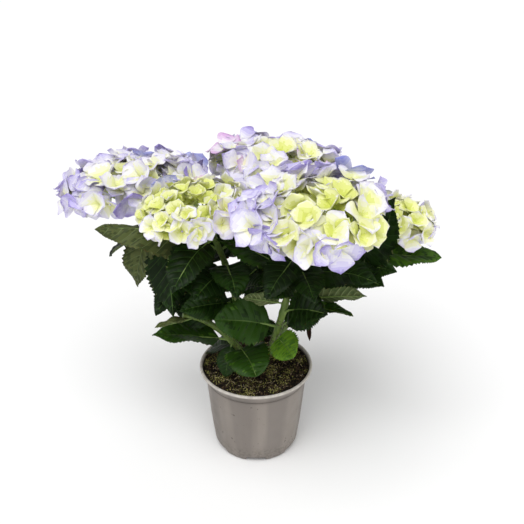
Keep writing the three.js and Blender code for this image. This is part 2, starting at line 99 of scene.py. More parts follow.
# The five flower heads, as in the solids, and for scene.py alone:
#   dense     how many times more florets stand on the dome, each one smaller to match
#   young     place of the youngest florets, as shares of the dome's half sizes
#   ripe      how ripe those are, where 0 is lime and 1 fully coloured
#   ripening  how much riper florets get one half size on
#   rim       how much riper again at the dome's rim towards -Y
#   odds      how often the ripe florets are lilac, blue and pink
#   settled   how much lower than the solid's the florets sit, weighed down
HEADS = {
    "left": {
        "centre": (-137, 60, 305), "half": (78, 54, 31), "lean": (-10, 2), "florets": 33, "reach": 18.0,
        "dense": 1.0, "young": (0.05, -0.3), "ripe": 0.30, "ripening": 0.68, "rim": 0.25,
        "odds": (0.87, 0.08, 0.05), "settled": 1.5,
    },
    "front_left": {
        "centre": (-60, -32, 319), "half": (57, 52, 29), "lean": (-6, -2), "florets": 30, "reach": 15.0,
        "dense": 1.3, "young": (-0.2, 0.0), "ripe": 0.02, "ripening": 0.44, "rim": 0.0,
        "odds": (0.90, 0.05, 0.05), "settled": 2.5,
    },
    "back": {
        "centre": (24, 84, 318), "half": (80, 62, 36), "lean": (8, 6), "florets": 35, "reach": 18.0,
        "dense": 1.0, "young": (0.3, -0.35), "ripe": 0.32, "ripening": 0.40, "rim": 0.0,
        "odds": (0.56, 0.10, 0.34), "settled": 8.0,
    },
    "front_right": {
        "centre": (55, -67, 330), "half": (76, 68, 40), "lean": (2, -2), "florets": 41, "reach": 18.5,
        "dense": 1.0, "young": (0.18, -0.5), "ripe": 0.0, "ripening": 0.82, "rim": 0.65,
        "odds": (0.93, 0.05, 0.02), "settled": 0.0,
    },
    "right": {
        "centre": (156, 30, 274), "half": (39, 35, 27), "lean": (14, 0), "florets": 18, "reach": 17.0,
        "dense": 1.4, "young": (-0.1, -0.2), "ripe": 0.06, "ripening": 0.44, "rim": 0.3,
        "odds": (0.85, 0.10, 0.05), "settled": 0.0,
    },
}

# Stems: end, where wood turns to cane, where the leaf mass starts, and the leaf pairs as
# (place, bearing, first length, second length, lift, droop, roll[, fold, half width for its length]).
STEMS = {
    "left": ((-133, 58, 295), 0.16, 0.34, (
        (0.8, 282, 122, 90, -12, 50, 0, -0.95),
        (0.84, 242, 92, 84, -38, 50, 0),
        (0.47, 250, 84, 84, 24, 60, -15),
        (0.56, 160, 100, 90, 20, 70, 0),
        (0.66, 150, 96, 90, 10, 60, 0),
        (0.6, 96, 84, 70, 10, 70, 0),
        (0.88, 112, 84, 80, 0, 50, 0),
        (0.37, 240, 72, 80, 20, 30, -40),
    )),
    "front_left": ((-58, -30, 310), 0.16, 0.32, (
        (0.67, 189, 134, 90, 34, 36, -14, -0.8, 0.23),
        (0.42, 215, 82, 76, 34, 20, -48),
        (0.35, 211, 70, 60, 20, 20, -50),
        (0.38, 316, 66, 70, 44, 40, 30),
        (0.58, 280, 80, 80, 22, 40, 0),
        (0.52, 245, 80, 76, 30, 44, -30),
        (0.76, 262, 84, 80, 4, 50, -10),
        (0.83, 215, 80, 78, 0, 44, -15),
    )),
    "back": ((22, 82, 306), 0.16, 0.26, (
        (0.7, 126, 108, 96, 12, 62, 0),
        (0.6, 52, 108, 96, 18, 64, 0),
        (0.78, 78, 100, 92, 4, 54, 0),
        (0.5, 112, 104, 88, 24, 70, 0),
        (0.4, 56, 92, 84, 26, 74, 0),
        (0.3, 122, 76, 70, 24, 70, 0),
        (0.84, 8, 88, 84, -2, 44, 0),
    )),
    "front_right": ((57, -65, 314), 0.16, 0.25, (
        (0.47, 193, 48, 48, 22, 6, 66),
        (0.33, 195, 80, 56, 29, 16, -55, 0.3, 0.38),
        (0.27, 303, 46, 28, 14, 30, 35, 0.3, 0.46),
        (0.42, 328, 84, 78, 38, 24, 55),
        (0.64, 329, 96, 88, 26, 30, 20),
        (0.6, 235, 70, 80, 30, 30, -40),
        (0.72, 285, 70, 86, 6, 24, 10),
        (0.79, 225, 70, 80, -6, 24, -10),
    )),
    "right": ((154, 29, 264), 0.16, 0.34, (
        (0.76, 359, 96, 70, -4, 0, 10),
        (0.74, 304, 116, 80, 32, -50, 90),
        (0.55, 320, 84, 80, 34, 40, 20),
        (0.42, 342, 70, 66, 20, 10, -60),
        (0.38, 318, 60, 60, 2, 10, -10),
        (0.66, 355, 66, 60, 17, 20, 45),
        (0.48, 40, 92, 88, 12, 40, 20),
        (0.62, 66, 92, 70, 8, 60, 0),
        (0.37, 303, 44, 30, -26, 74, 60, 0.6, 0.12),
    )),
    "low_left": ((-78, -36, 195), 0.2, 0.2, (
        (0.26, 290, 60, 46, 26, 56, 10, 0.3, 0.5),
        (0.38, 192, 90, 46, 18, 10, 0),
        (0.36, 251, 41, 40, -46, 20, 0, 0.3, 0.38),
        (0.6, 215, 54, 40, 56, 30, -60),
        (0.86, 190, 46, 26, -2, 0, 20),
    )),
}


# ---- meshes from arrays

KNIFE_EDGE = radians(75)


class Pile:
    """Shells, tubes and grains that are joined in one mesh, each face with the number of its colour."""

    def __init__(self):
        self.points = []
        self.faces = {3: [], 4: []}
        self.looks = {3: [], 4: []}
        self.size = 0

    def add(self, points, *faces):
        """Adds points and, for each (indices, looks) given, its faces."""
        for index, looks in faces:
            corners = index.shape[1]
            self.faces[corners].append(index + self.size)
            self.looks[corners].append(np.broadcast_to(looks, len(index)))
        self.points.append(points)
        self.size += len(points)

    def mesh(self, name):
        """The joined mesh, in metres, smooth but for its knife edges."""
        points = np.concatenate(self.points) * MM
        faces = self.faces[4] + self.faces[3]
        loops = np.concatenate([index.ravel() for index in faces])
        corners = np.concatenate([np.full(len(index), index.shape[1]) for index in faces])
        looks = np.concatenate(self.looks[4] + self.looks[3])
        made = bpy.data.meshes.new(name)
        made.vertices.add(len(points))
        made.vertices.foreach_set("co", points.astype(np.float32).ravel())
        made.loops.add(len(loops))
        made.loops.foreach_set("vertex_index", loops.astype(np.int32))
        made.polygons.add(len(corners))
        made.polygons.foreach_set("loop_start", (np.cumsum(corners) - corners).astype(np.int32))
        made.polygons.foreach_set("material_index", looks.astype(np.int32))
        made.update(calc_edges=True)
        made.validate()
        made.shade_smooth()
        made.set_sharp_from_angle(angle=KNIFE_EDGE)
        return made


def add_object(name, data):
    thing = bpy.data.objects.new(name, data)
    bpy.context.scene.collection.objects.link(thing)
    return thing


def piece(name, pile, materials, slot, *nodes):
    """Makes a pile into a finished piece that stands for CAD nodes and rides on the plant's body."""
    made = pile.mesh(name)
    for material in materials:
        made.materials.append(material)
    thing = add_object(name, made)
    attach(thing, BODY)
    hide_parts(*nodes)


def unit(v):
    return v / np.maximum(np.linalg.norm(v, axis=-1, keepdims=True), 1e-9)


def quads_of(index):
    """Faces of a grid of point numbers."""
    corners = (index[:-1, :-1], index[1:, :-1], index[1:, 1:], index[:-1, 1:])
    return np.stack(corners, -1).reshape(-1, 4)


def add_rings(pile, rings, tips, look, face_looks=None, turned=False):
    """A closed skin over a stack of rings, with a fan to a tip at either end; turned faces the other way."""
    count, sides = rings.shape[:2]
    index = np.arange(count * sides).reshape(count, sides)
    quads = quads_of(np.concatenate([index, index[:, :1]], 1))
    around, after = index[0], np.roll(index[0], -1)
    if turned:
        around, after = after, around
    else:
        quads = quads[:, ::-1]
    last = (count - 1) * sides
    first_tip = np.full(sides, count * sides)
    pile.add(
        np.concatenate([rings.reshape(-1, 3), tips]),
        (quads, look if face_looks is None else face_looks.ravel()),
        (np.stack([after, around, first_tip], 1), look),
        (np.stack([last + around, last + after, first_tip + 1], 1), look),
    )


def add_shell(pile, middle, above, below, upper_looks, lower_looks):
    """A thin closed shell on a grid: two faces that meet in one shared rim."""
    rows, cols = middle.shape[:2]
    normal = unit(np.cross(np.gradient(middle, axis=0), np.gradient(middle, axis=1)))
    inner = np.zeros((rows, cols, 1))
    inner[1:-1, 1:-1] = 1
    top = middle + normal * above * inner
    bottom = (middle - normal * below)[1:-1, 1:-1]
    upper = np.arange(rows * cols).reshape(rows, cols)
    lower = upper.copy()
    lower[1:-1, 1:-1] = rows * cols + np.arange((rows - 2) * (cols - 2)).reshape(rows - 2, cols - 2)
    points = np.concatenate([top.reshape(-1, 3), bottom.reshape(-1, 3)])
    pile.add(points, (quads_of(upper), upper_looks), (quads_of(lower)[:, ::-1], lower_looks))


TUBE_START = (0.31, 0.87, 0.39)


def add_tube(pile, path, radius, sides, look, face_looks=None, lumps=None):
    """A capped tube of changing radius along a path; lumps push its rings in and out."""
    path = np.asarray(path, float)
    radius = np.broadcast_to(radius, len(path))
    heading = unit(np.gradient(path, axis=0))
    side = np.cross(heading[0], TUBE_START)
    rings = []
    angles = np.arange(sides) * 2 * pi / sides
    for at, forward, r in zip(path, heading, radius):
        side = unit(side - forward * side.dot(forward))
        other = np.cross(forward, side)
        rings.append(at + r * (np.outer(np.cos(angles), side) + np.outer(np.sin(angles), other)))
    rings = np.array(rings)
    if lumps is not None:
        rings = path[:, None] + (rings - path[:, None]) * lumps[..., None]
    add_rings(pile, rings, path[[0, -1]], look, face_looks)


GRAIN_RISE = 0.5 * (1 + sqrt(5))
GRAIN_POINTS = unit(np.array([
    (-1, GRAIN_RISE, 0), (1, GRAIN_RISE, 0), (-1, -GRAIN_RISE, 0), (1, -GRAIN_RISE, 0),
    (0, -1, GRAIN_RISE), (0, 1, GRAIN_RISE), (0, -1, -GRAIN_RISE), (0, 1, -GRAIN_RISE),
    (GRAIN_RISE, 0, -1), (GRAIN_RISE, 0, 1), (-GRAIN_RISE, 0, -1), (-GRAIN_RISE, 0, 1),
]))
GRAIN_FACES = np.array([
    (0, 11, 5), (0, 5, 1), (0, 1, 7), (0, 7, 10), (0, 10, 11), (1, 5, 9), (5, 11, 4),
    (11, 10, 2), (10, 7, 6), (7, 1, 8), (3, 9, 4), (3, 4, 2), (3, 2, 6), (3, 6, 8),
    (3, 8, 9), (4, 9, 5), (2, 4, 11), (6, 2, 10), (8, 6, 7), (9, 8, 1),
])


def add_grains(pile, places, sizes, rng, looks, rough):
    """Small twenty-sided lumps, each pushed out of round by a rough share."""
    count = len(places)
    push = 1 + rough * rng.uniform(-1, 1, (count, len(GRAIN_POINTS), 1))
    points = places[:, None] + GRAIN_POINTS[None] * push * np.asarray(sizes)[:, None, :]
    faces = GRAIN_FACES[None] + np.arange(count)[:, None, None] * len(GRAIN_POINTS)
    looks = np.repeat(np.broadcast_to(looks, count), len(GRAIN_FACES))
    pile.add(points.reshape(-1, 3), (faces.reshape(-1, 3), looks))


WAVE_OCTAVES = 3
WAVE_RATE = 1.7
WAVE_FADE = 1.4
WAVE_LEVEL = 1.6


def waves(x, y, seed):
    """A smooth uneven field between about -1 and 1, from a few crossed waves."""
    rng = np.random.default_rng(seed)
    total = np.zeros(np.broadcast(x, y).shape)
    for octave in range(WAVE_OCTAVES):
        turn = rng.uniform(0, 2 * pi)
        phase = rng.uniform(0, 2 * pi, 2)
        rate = WAVE_RATE ** octave
        u = rate * (x * cos(turn) + y * sin(turn))
        v = rate * (y * cos(turn) - x * sin(turn))
        total += np.sin(u + phase[0]) * np.sin(v + phase[1]) / WAVE_FADE ** octave
    return total / WAVE_LEVEL


# ---- the source's growing rule

DRAW_TIMES = 1664525
DRAW_PLUS = 1013904223
DRAW_RANGE = 2 ** 32
LEAF_SEED = 2026


def make_random(seed):
    """Small repeatable source of numbers from 0 to 1, the one in the source."""
    state = seed

    def draw():
        nonlocal state
        state = (state * DRAW_TIMES + DRAW_PLUS) % DRAW_RANGE
        return state / DRAW_RANGE

    return draw


def stem_controls(name):
    """The four points that steer a stem's one arching curve from the crown to its end."""
    end = STEMS[name][0]
    near, far = LOW_ARCH if name == "front_right" else ARCH
    bearing = atan2(end[1], end[0])
    foot = np.array([cos(bearing) * CROWN_SPREAD, sin(bearing) * CROWN_SPREAD, GROUND + STEM_FOOT])
    reach = np.array(end, float) - foot
    bends = [foot + reach * (level, level, up) for level, up in (near, far)]
    return np.array([foot, *bends, end])


CONTROLS = {name: stem_controls(name) for name in STEMS}


def on_stem(name, t):
    """Points at places t along a stem."""
    t = np.atleast_1d(np.asarray(t, float))[:, None]
    a, b, c, d = CONTROLS[name]
    return (1 - t) ** 3 * a + 3 * (1 - t) ** 2 * t * b + 3 * (1 - t) * t ** 2 * c + t ** 3 * d


def cane_radius(t):
    """A stem's radius at places t along it."""
    return CANE_RADIUS[0] + (CANE_RADIUS[1] - CANE_RADIUS[0]) * np.asarray(t)


def gap_share(name):
    """The gap between two solids on a stem, as a share of the stem's length."""
    line = on_stem(name, np.linspace(0, 1, CURVE_SAMPLES))
    return GAP / np.linalg.norm(np.diff(line, axis=0), axis=1).sum()


def ovate(u):
    """Half width of an ovate blade at a share of its length, as a share of the widest."""
    u = np.clip(u, 0, 1)
    return np.maximum(0, 1 - (2 * u ** OVATE_LEAN - 1) ** 2) ** OVATE_POWER


def leaf_heading(leaf, s):
    """The way a leaf runs at places s along it: it leaves at a lift and bends down evenly to its tip."""
    bearing = radians(leaf["bearing"])
    pitch = np.radians(leaf["lift"] - leaf["droop"] * s)
    level = np.cos(pitch)
    return np.stack([level * cos(bearing), level * sin(bearing), np.sin(pitch)], -1)


def leaf_points(leaf, s, across, above):
    """Points at places s along a leaf, so far across it and above its midrib, after its roll."""
    steps = (np.arange(MIDRIB_STEPS) + 0.5) / MIDRIB_STEPS
    moves = np.cumsum(leaf_heading(leaf, steps) * leaf["length"] / MIDRIB_STEPS, axis=0)
    rib = np.concatenate([[leaf["root"]], leaf["root"] + moves])
    place = np.minimum(MIDRIB_STEPS - 1e-9, s * MIDRIB_STEPS)
    i = place.astype(int)
    middle = rib[i] + (rib[i + 1] - rib[i]) * (place - i)[..., None]
    bearing = radians(leaf["bearing"])
    roll = radians(leaf["roll"])
    side = np.broadcast_to((-sin(bearing), cos(bearing), 0.0), s.shape + (3,))
    up = np.cross(leaf_heading(leaf, s), side)
    rolled_side = side * cos(roll) + up * sin(roll)
    rolled_up = up * cos(roll) - side * sin(roll)
    return middle + rolled_side * across[..., None] + rolled_up * above[..., None]


def leaf_samples(leaf):
    """Points all over a blade, for keeping its distance."""
    share = np.arange(SAMPLE_ROWS)[:, None] / (SAMPLE_ROWS - 1) + np.zeros(SAMPLE_COLUMNS)
    s = PETIOLE_SHARE + (1 - PETIOLE_SHARE) * share
    v = np.linspace(-1, 1, SAMPLE_COLUMNS) + np.zeros((SAMPLE_ROWS, 1))
    blade = leaf["length"] * (1 - PETIOLE_SHARE)
    half = np.maximum(blade * leaf["aspect"] * ovate(share), np.where(share < 1, PETIOLE_RADIUS, 0))
    fold = np.where(share > 0, leaf["fold"], 0)
    return leaf_points(leaf, s, v * half * np.cos(fold), np.abs(v) * half * np.sin(fold)).reshape(-1, 3)


def head_turn(head):
    """Matrix from a head's own axes to the plant's."""
    x = radians(-head["lean"][1])
    y = radians(head["lean"][0])
    about_x = np.array([(1, 0, 0), (0, cos(x), -sin(x)), (0, sin(x), cos(x))])
    about_y = np.array([(cos(y), 0, sin(y)), (0, 1, 0), (-sin(y), 0, cos(y))])
    return about_x @ about_y


def head_reach(head, points, extra=0.0):
    """How far out points lie in a head: 1 on the dome's surface."""
    x, y, z = np.moveaxis((points - np.array(head["centre"])) @ head_turn(head), -1, 0)
    a, b, c = head["half"]
    tall = np.where(z < 0, c * HEAD_UNDERSIDE, c)
    return np.sqrt((x / (a + extra)) ** 2 + (y / (b + extra)) ** 2 + (z / (tall + extra)) ** 2)


def near(samples, others, room):
    """Whether any point of one set lies closer to the other than the room given."""
    if (samples.min(0) - room > others.max(0)).any() or (others.min(0) - room > samples.max(0)).any():
        return False
    apart = samples[:, None] - others[None]
    return bool(((apart ** 2).sum(-1) < room * room).any())


def leaf_fits(samples, name, placed):
    """Whether a leaf keeps clear of the pot, the heads, the canes and the leaves placed so far."""
    radius = np.hypot(samples[:, 0], samples[:, 1])
    over_pot = (radius < LIP_RADIUS + ROOM["pot"]) & (samples[:, 2] < POT_TOP + ROOM["pot"])
    if (over_pot | (samples[:, 2] < WAIST_HEIGHT)).any():
        return False
    if any((head_reach(head, samples, ROOM["head"]) < 1).any() for head in HEADS.values()):
        return False
    for other in STEMS:
        points = on_stem(other, np.linspace(0, 1, CANE_SAMPLES))
        if near(samples, points, ROOM["sister"] if other == name else ROOM["cane"]):
            return False
    return not any(
        near(samples, leaf["samples"], ROOM["sister"] if leaf["stem"] == name else ROOM["leaf"])
        for leaf in placed
    )


def place_leaves():
    """Every leaf of the plant. One that finds no room near its bearing is skipped."""
    draw = make_random(LEAF_SEED)
    placed = []
    most = max(len(stem[3]) for stem in STEMS.values())
    tries = [(tilt, swing) for tilt in TRY_LIFTS for swing in TRY_TURNS]
    for row in range(most):
        for name, (_, _, _, pairs) in STEMS.items():
            if row >= len(pairs):
                continue
            t, bearing, first, second, lift, droop, roll, *own = pairs[row]
            fold, aspect = own + [LEAF_FOLD, LEAF_ASPECT][len(own):]
            for turn, length in ((0, first), (180, second)):
                drift = (draw() - 0.5) * DRIFT
                rise = (draw() - 0.5) * RISE
                for tilt, swing in tries:
                    leaf = {
                        "stem": name,
                        "place": t,
                        "root": on_stem(name, t)[0],
                        "bearing": bearing + turn + drift + swing,
                        "length": length,
                        "lift": lift + rise + tilt,
                        "droop": droop,
                        "roll": -roll if turn else roll,
                        "fold": fold,
                        "aspect": aspect,
                    }
                    leaf["samples"] = leaf_samples(leaf)
                    if leaf_fits(leaf["samples"], name, placed):
                        placed.append(leaf)
                        break
    return placed


def dome_heights(head, count):
    """Heights, as shares of the dome's, that spread florets evenly over it."""
    a, b, c = head["half"]
    wide = (a + b) / 2
    u = 1 - (1 - DOME_END) * (np.arange(CURVE_SAMPLES) + 0.5) / CURVE_SAMPLES
    sums = np.concatenate([[0], np.cumsum(np.sqrt(wide * wide * u * u + c * c * (1 - u * u)))])
    want = sums[-1] * (np.arange(count) + 0.5) / count
    return 1 - (1 - DOME_END) * np.searchsorted(sums, want) / CURVE_SAMPLES


# ---- materials

def principled(name, **sockets):
    """A material with one Principled shader; constants are set on its own sockets."""
    material = bpy.data.materials.new(name)
    material.use_nodes = True
    shader = material.node_tree.nodes["Principled BSDF"]
    for socket, value in sockets.items():
        shader.inputs[socket.replace("_", " ")].default_value = value
    return material, material.node_tree, shader


def feed(tree, target, value):
    """Links a socket to another, or gives it a value of its own."""
    if isinstance(value, bpy.types.NodeSocket):
        tree.links.new(value, target)
    else:
        target.default_value = value


def add_node(tree, kind, **sockets):
    """A shader node with a value or a link for each socket named."""
    made = tree.nodes.new("ShaderNode" + kind)
    for socket, value in sockets.items():
        feed(tree, made.inputs[socket.replace("_", " ")], value)
    return made


def noise(tree, scale, detail=3.0, stretch=None):
    """A noise pattern in the object's own metres, stretched along an axis if asked."""
    source = add_node(tree, "TexCoord").outputs["Object"]
    if stretch:
        source = add_node(tree, "Mapping", Vector=source, Scale=stretch).outputs["Vector"]
    return add_node(tree, "TexNoise", Vector=source, Scale=scale, Detail=detail).outputs["Fac"]


def ramp(tree, source, *stops):
    """Colours or greys at places along a pattern."""
    made = add_node(tree, "ValToRGB", Fac=source)
    elements = made.color_ramp.elements
    while len(elements) < len(stops):
        elements.new(0.5)
    for element, (place, colour) in zip(elements, stops):
        element.position = place
        element.color = (*colour, 1.0) if len(colour) == 3 else (*colour * 3, 1.0)
    return made.outputs["Color"]


def mix(tree, share, one, other, blend="MIX"):
    """Blends one colour towards another by a share."""
    made = tree.nodes.new("ShaderNodeMix")
    made.data_type = "RGBA"
    made.blend_type = blend
    colours = [socket for socket in made.inputs if socket.type == "RGBA"]
    feed(tree, made.inputs["Factor"], share)
    for target, value in zip(colours, (one, other)):
        feed(tree, target, (*value, 1.0) if isinstance(value, tuple) else value)
    return next(socket for socket in made.outputs if socket.type == "RGBA")


def fade(tree, height, ends, pattern):
    """A pattern that comes in from none at one height to all of it at another."""
    level = add_node(tree, "MapRange", Value=height, From_Min=ends[0], From_Max=ends[1])
    made = tree.nodes.new("ShaderNodeMath")
    made.operation = "MULTIPLY"
    for target, value in zip(made.inputs, (level.outputs["Result"], pattern)):
        feed(tree, target, value)
    return made.outputs["Value"]


def relief(tree, shader, height, strength, distance):
    bump = add_node(tree, "Bump", Strength=strength, Distance=distance, Height=height)
    tree.links.new(bump.outputs["Normal"], shader.inputs["Normal"])


def patterned(name, rough, gloss, pattern, stops, grain, strength, distance):
    """A material with colours along a noise pattern and relief from a finer one."""
    material, tree, shader = principled(name, Roughness=rough, Specular_IOR_Level=gloss)
    tree.links.new(ramp(tree, noise(tree, *pattern), *stops), shader.inputs["Base Color"])
    relief(tree, shader, noise(tree, *grain), strength, distance)
    return material


def leaf_look(name, colour, rough, coat):
    """A blade's plain colour under an uneven waxy gloss."""
    material, tree, shader = principled(
        name, Base_Color=(*colour, 1.0), Coat_Weight=coat, Coat_Roughness=0.25, Specular_IOR_Level=0.13,
        Subsurface_Weight=0.05, Subsurface_Scale=0.0015,
    )
    uneven = ramp(tree, noise(tree, 260), (0.3, (rough - 0.08,)), (0.7, (rough + 0.12,)))
    tree.links.new(uneven, shader.inputs["Roughness"])
    relief(tree, shader, noise(tree, 700), 0.22, 0.0006)
    return material


def sepal_look(name, colour):
    """A sepal's plain colour, matt and softly lit through, with fine relief."""
    material, tree, shader = principled(
        name, Base_Color=(*colour, 1.0), Roughness=0.62, Specular_IOR_Level=0.3, Sheen_Weight=0.12,
        Subsurface_Weight=0.22, Subsurface_Scale=0.002, Subsurface_Radius=(1.0, 0.9, 0.8),
    )
    relief(tree, shader, noise(tree, 900, stretch=(1, 1, 0.4)), 0.12, 0.0004)
    return material


def stalk_look(name, light, dark):
    """Green or brown stems, streaked along."""
    stops = (0.35, dark), (0.65, light)
    return patterned(name, 0.5, 0.4, (240, 4, (1, 1, 0.25)), stops, (900,), 0.35, 0.0006)


def litter_look(name, light, dark):
    stops = (0.35, dark), (0.65, light)
    return patterned(name, 0.9, 0.2, (500,), stops, (1500,), 0.5, 0.0006)


# Name, colour, roughness and wax of each look of a blade.
LEAF_LOOKS = [leaf_look(*look) for look in (
    ("leaf_deep", (0.005, 0.015, 0.002), 0.46, 0.03),
    ("leaf_dark", (0.010, 0.030, 0.003), 0.44, 0.03),
    ("leaf_green", (0.020, 0.056, 0.005), 0.44, 0.03),
    ("leaf_fresh", (0.052, 0.125, 0.010), 0.46, 0.03),
    ("leaf_bright", (0.095, 0.200, 0.012), 0.48, 0.03),
    ("leaf_vein", (0.030, 0.068, 0.014), 0.48, 0.03),
    ("leaf_rib", (0.080, 0.140, 0.032), 0.50, 0.03),
    ("leaf_under", (0.075, 0.105, 0.035), 0.62, 0.0),
    ("leaf_under_pale", (0.110, 0.140, 0.052), 0.62, 0.0),
    ("leaf_under_vein", (0.190, 0.230, 0.100), 0.60, 0.0),
    ("leaf_withered", (0.030, 0.014, 0.009), 0.80, 0.0),
    ("leaf_olive_dark", (0.046, 0.060, 0.019), 0.56, 0.02),
    ("leaf_olive", (0.078, 0.096, 0.030), 0.56, 0.02),
    ("leaf_olive_pale", (0.125, 0.150, 0.050), 0.56, 0.02),
)]
(
    DEEP, DARK, GREEN, FRESH, BRIGHT, VEIN, RIB, UNDER, UNDER_PALE, UNDER_VEIN, WITHERED,
    OLIVE_DARK, OLIVE, OLIVE_PALE,
) = range(len(LEAF_LOOKS))

SEPAL_COLOURS = {
    "green": (0.54, 0.61, 0.10),
    "lime": (0.67, 0.72, 0.16),
    "pale_lime": (0.75, 0.79, 0.25),
    "lime_cream": (0.85, 0.87, 0.42),
    "cream": (0.88, 0.88, 0.61),
    "white": (0.88, 0.87, 0.86),
    "white_lilac": (0.79, 0.76, 0.89),
    "pale_lilac": (0.67, 0.63, 0.86),
    "soft_lilac": (0.55, 0.50, 0.81),
    "lilac": (0.43, 0.37, 0.72),
    "deep_lilac": (0.34, 0.28, 0.66),
    "pale_blue": (0.63, 0.64, 0.88),
    "soft_blue": (0.46, 0.48, 0.80),
    "blue": (0.36, 0.38, 0.76),
    "deep_blue": (0.27, 0.29, 0.70),
    "white_pink": (0.87, 0.78, 0.88),
    "pale_pink": (0.76, 0.58, 0.79),
    "soft_pink": (0.70, 0.46, 0.73),
    "pink": (0.62, 0.35, 0.66),
    "deep_pink": (0.54, 0.26, 0.58),
    # The darkest green is painted shade for the florets of the inner layers; now and then it is also the
    # deepest green at a young sepal's eye.
    "deep_green": (0.20, 0.27, 0.03),
}
SEPAL_LOOKS = [sepal_look("sepal_" + name, colour) for name, colour in SEPAL_COLOURS.items()]
YOUNG = "deep_green green lime pale_lime lime_cream cream white"
RIPE = {
    "lilac": "white_lilac pale_lilac soft_lilac lilac deep_lilac",
    "blue": "white_lilac pale_blue soft_blue blue deep_blue",
    "pink": "white_pink pale_pink soft_pink pink deep_pink",
}
# The looks that sepals of a kind pass through, from the youngest to the ripest.
SHADES = {
    kind: np.array([list(SEPAL_COLOURS).index(name) for name in (YOUNG + " " + ripe).split()])
    for kind, ripe in RIPE.items()
}

STALK_LOOKS = [stalk_look(*look) for look in (
    ("cane_green", (0.150, 0.220, 0.042), (0.075, 0.128, 0.024)),
    ("cane_dark", (0.075, 0.085, 0.035), (0.040, 0.040, 0.020)),
    ("petiole", (0.230, 0.330, 0.090), (0.150, 0.240, 0.055)),
    ("fleck", (0.060, 0.030, 0.020), (0.040, 0.020, 0.014)),
    ("flower_stalk", (0.480, 0.570, 0.220), (0.330, 0.430, 0.130)),
)]
CANE_GREEN, CANE_DARK, PETIOLE, FLECK, FLOWER_STALK = range(len(STALK_LOOKS))


# ---- leaves

# Side veins: how many pairs, half their width in steps between veins, how much that narrows at the edge,
# how far they sweep on, and where they stop across the blade; then the blade's other rows and columns.
VEIN_PAIRS = 8
VEIN_HALF = 0.06
VEIN_NARROWS = 0.7
VEIN_SWEEP = 0.22
VEIN_STOPS = 0.86
ROW_OFFSETS = (-VEIN_HALF, VEIN_HALF, 0.28, 0.5, 0.72)
RIB_HALF = 0.024
HALF_COLUMNS = np.array([RIB_HALF, 0.15, 0.32, 0.52, 0.72, 0.89, 1])
BLADE_COLUMNS = np.concatenate([-HALF_COLUMNS[::-1], HALF_COLUMNS])
TOOTH = 0.13
TOOTH_UNEVEN = (0.75, 1.25)
TIP_FROM = 0.74
TIP_PINCH = 0.22
TIP_POWER = 1.2
# How much wider than common a blade is once its outline is a full disc, and how far that leans to its foot.
DISC_WIDER = 0.12
DISC_LEAN = 0.9
LEAST_HALF = 0.5
FOOT_HALF = 1.0
TIP_HALF = 0.2
FOLD_EASE = 0.25
# Relief, as shares of the leaf's length: cushions between veins, waves along the edge, and uneven curl.
QUILT = 0.016
QUILT_FROM = 0.2
RIPPLE = 0.026
RIPPLES = (1.4, 2.2)
CURL = 0.02
CALM_FOOT = 0.12
CALM_TIP = 0.08
# How much a blade's tone varies in patches and from face to face, and how much of its underside is pale.
MOTTLE = 0.5
MOTTLE_GRAIN = 0.35
PALE_ABOVE = 0.1
UPPER_THICK = 0.22
UNDER_THICK = 0.3
UNDER_VEIN_THICK = 0.55
# The midrib below the blade: its places along the leaf, how thick it is there, and how deep it lies.
RIB_PLACES = (0, 0.04, PETIOLE_SHARE, 0.4, 0.96)
RIB_THICK = (2.0, 1.5, 1.35, 0.85, 0.25)
RIB_SINK = 0.55
PETIOLE_SINK = 0.2
PETIOLE_ROWS = 4
RIB_ROWS = 13
RIB_SIDES = 7
STOUT_LENGTH = 70


def blade_rows():
    """The blade's rows, in steps from one side vein to the next, and how far from a vein each is."""
    places = [(0.0, 0.0)]
    for k in range(VEIN_PAIRS + 1):
        for offset in ROW_OFFSETS:
            if 0 < k + offset < VEIN_PAIRS:
                places.append((k, offset))
    places.append((VEIN_PAIRS, 0.0))
    return np.array(places)


BLADE_ROWS = blade_rows()
ROW_STEP, ROW_OFFSET = BLADE_ROWS[:, :1], BLADE_ROWS[:, 1:]
ON_VEIN = np.abs(ROW_OFFSET) <= VEIN_HALF


def blade_shares():
    """Places of a blade's points along it, as shares of its length: rows that sweep on beside the midrib."""
    wide = np.abs(BLADE_COLUMNS)[None]
    offset = np.where(ON_VEIN, ROW_OFFSET * (1 - VEIN_NARROWS * wide), ROW_OFFSET)
    q = np.clip((ROW_STEP + offset) / VEIN_PAIRS, 0, 1)
    return np.clip(q + VEIN_SWEEP * wide * np.sin(pi * q ** OVATE_LEAN), 0, 1)


SHARE = blade_shares()


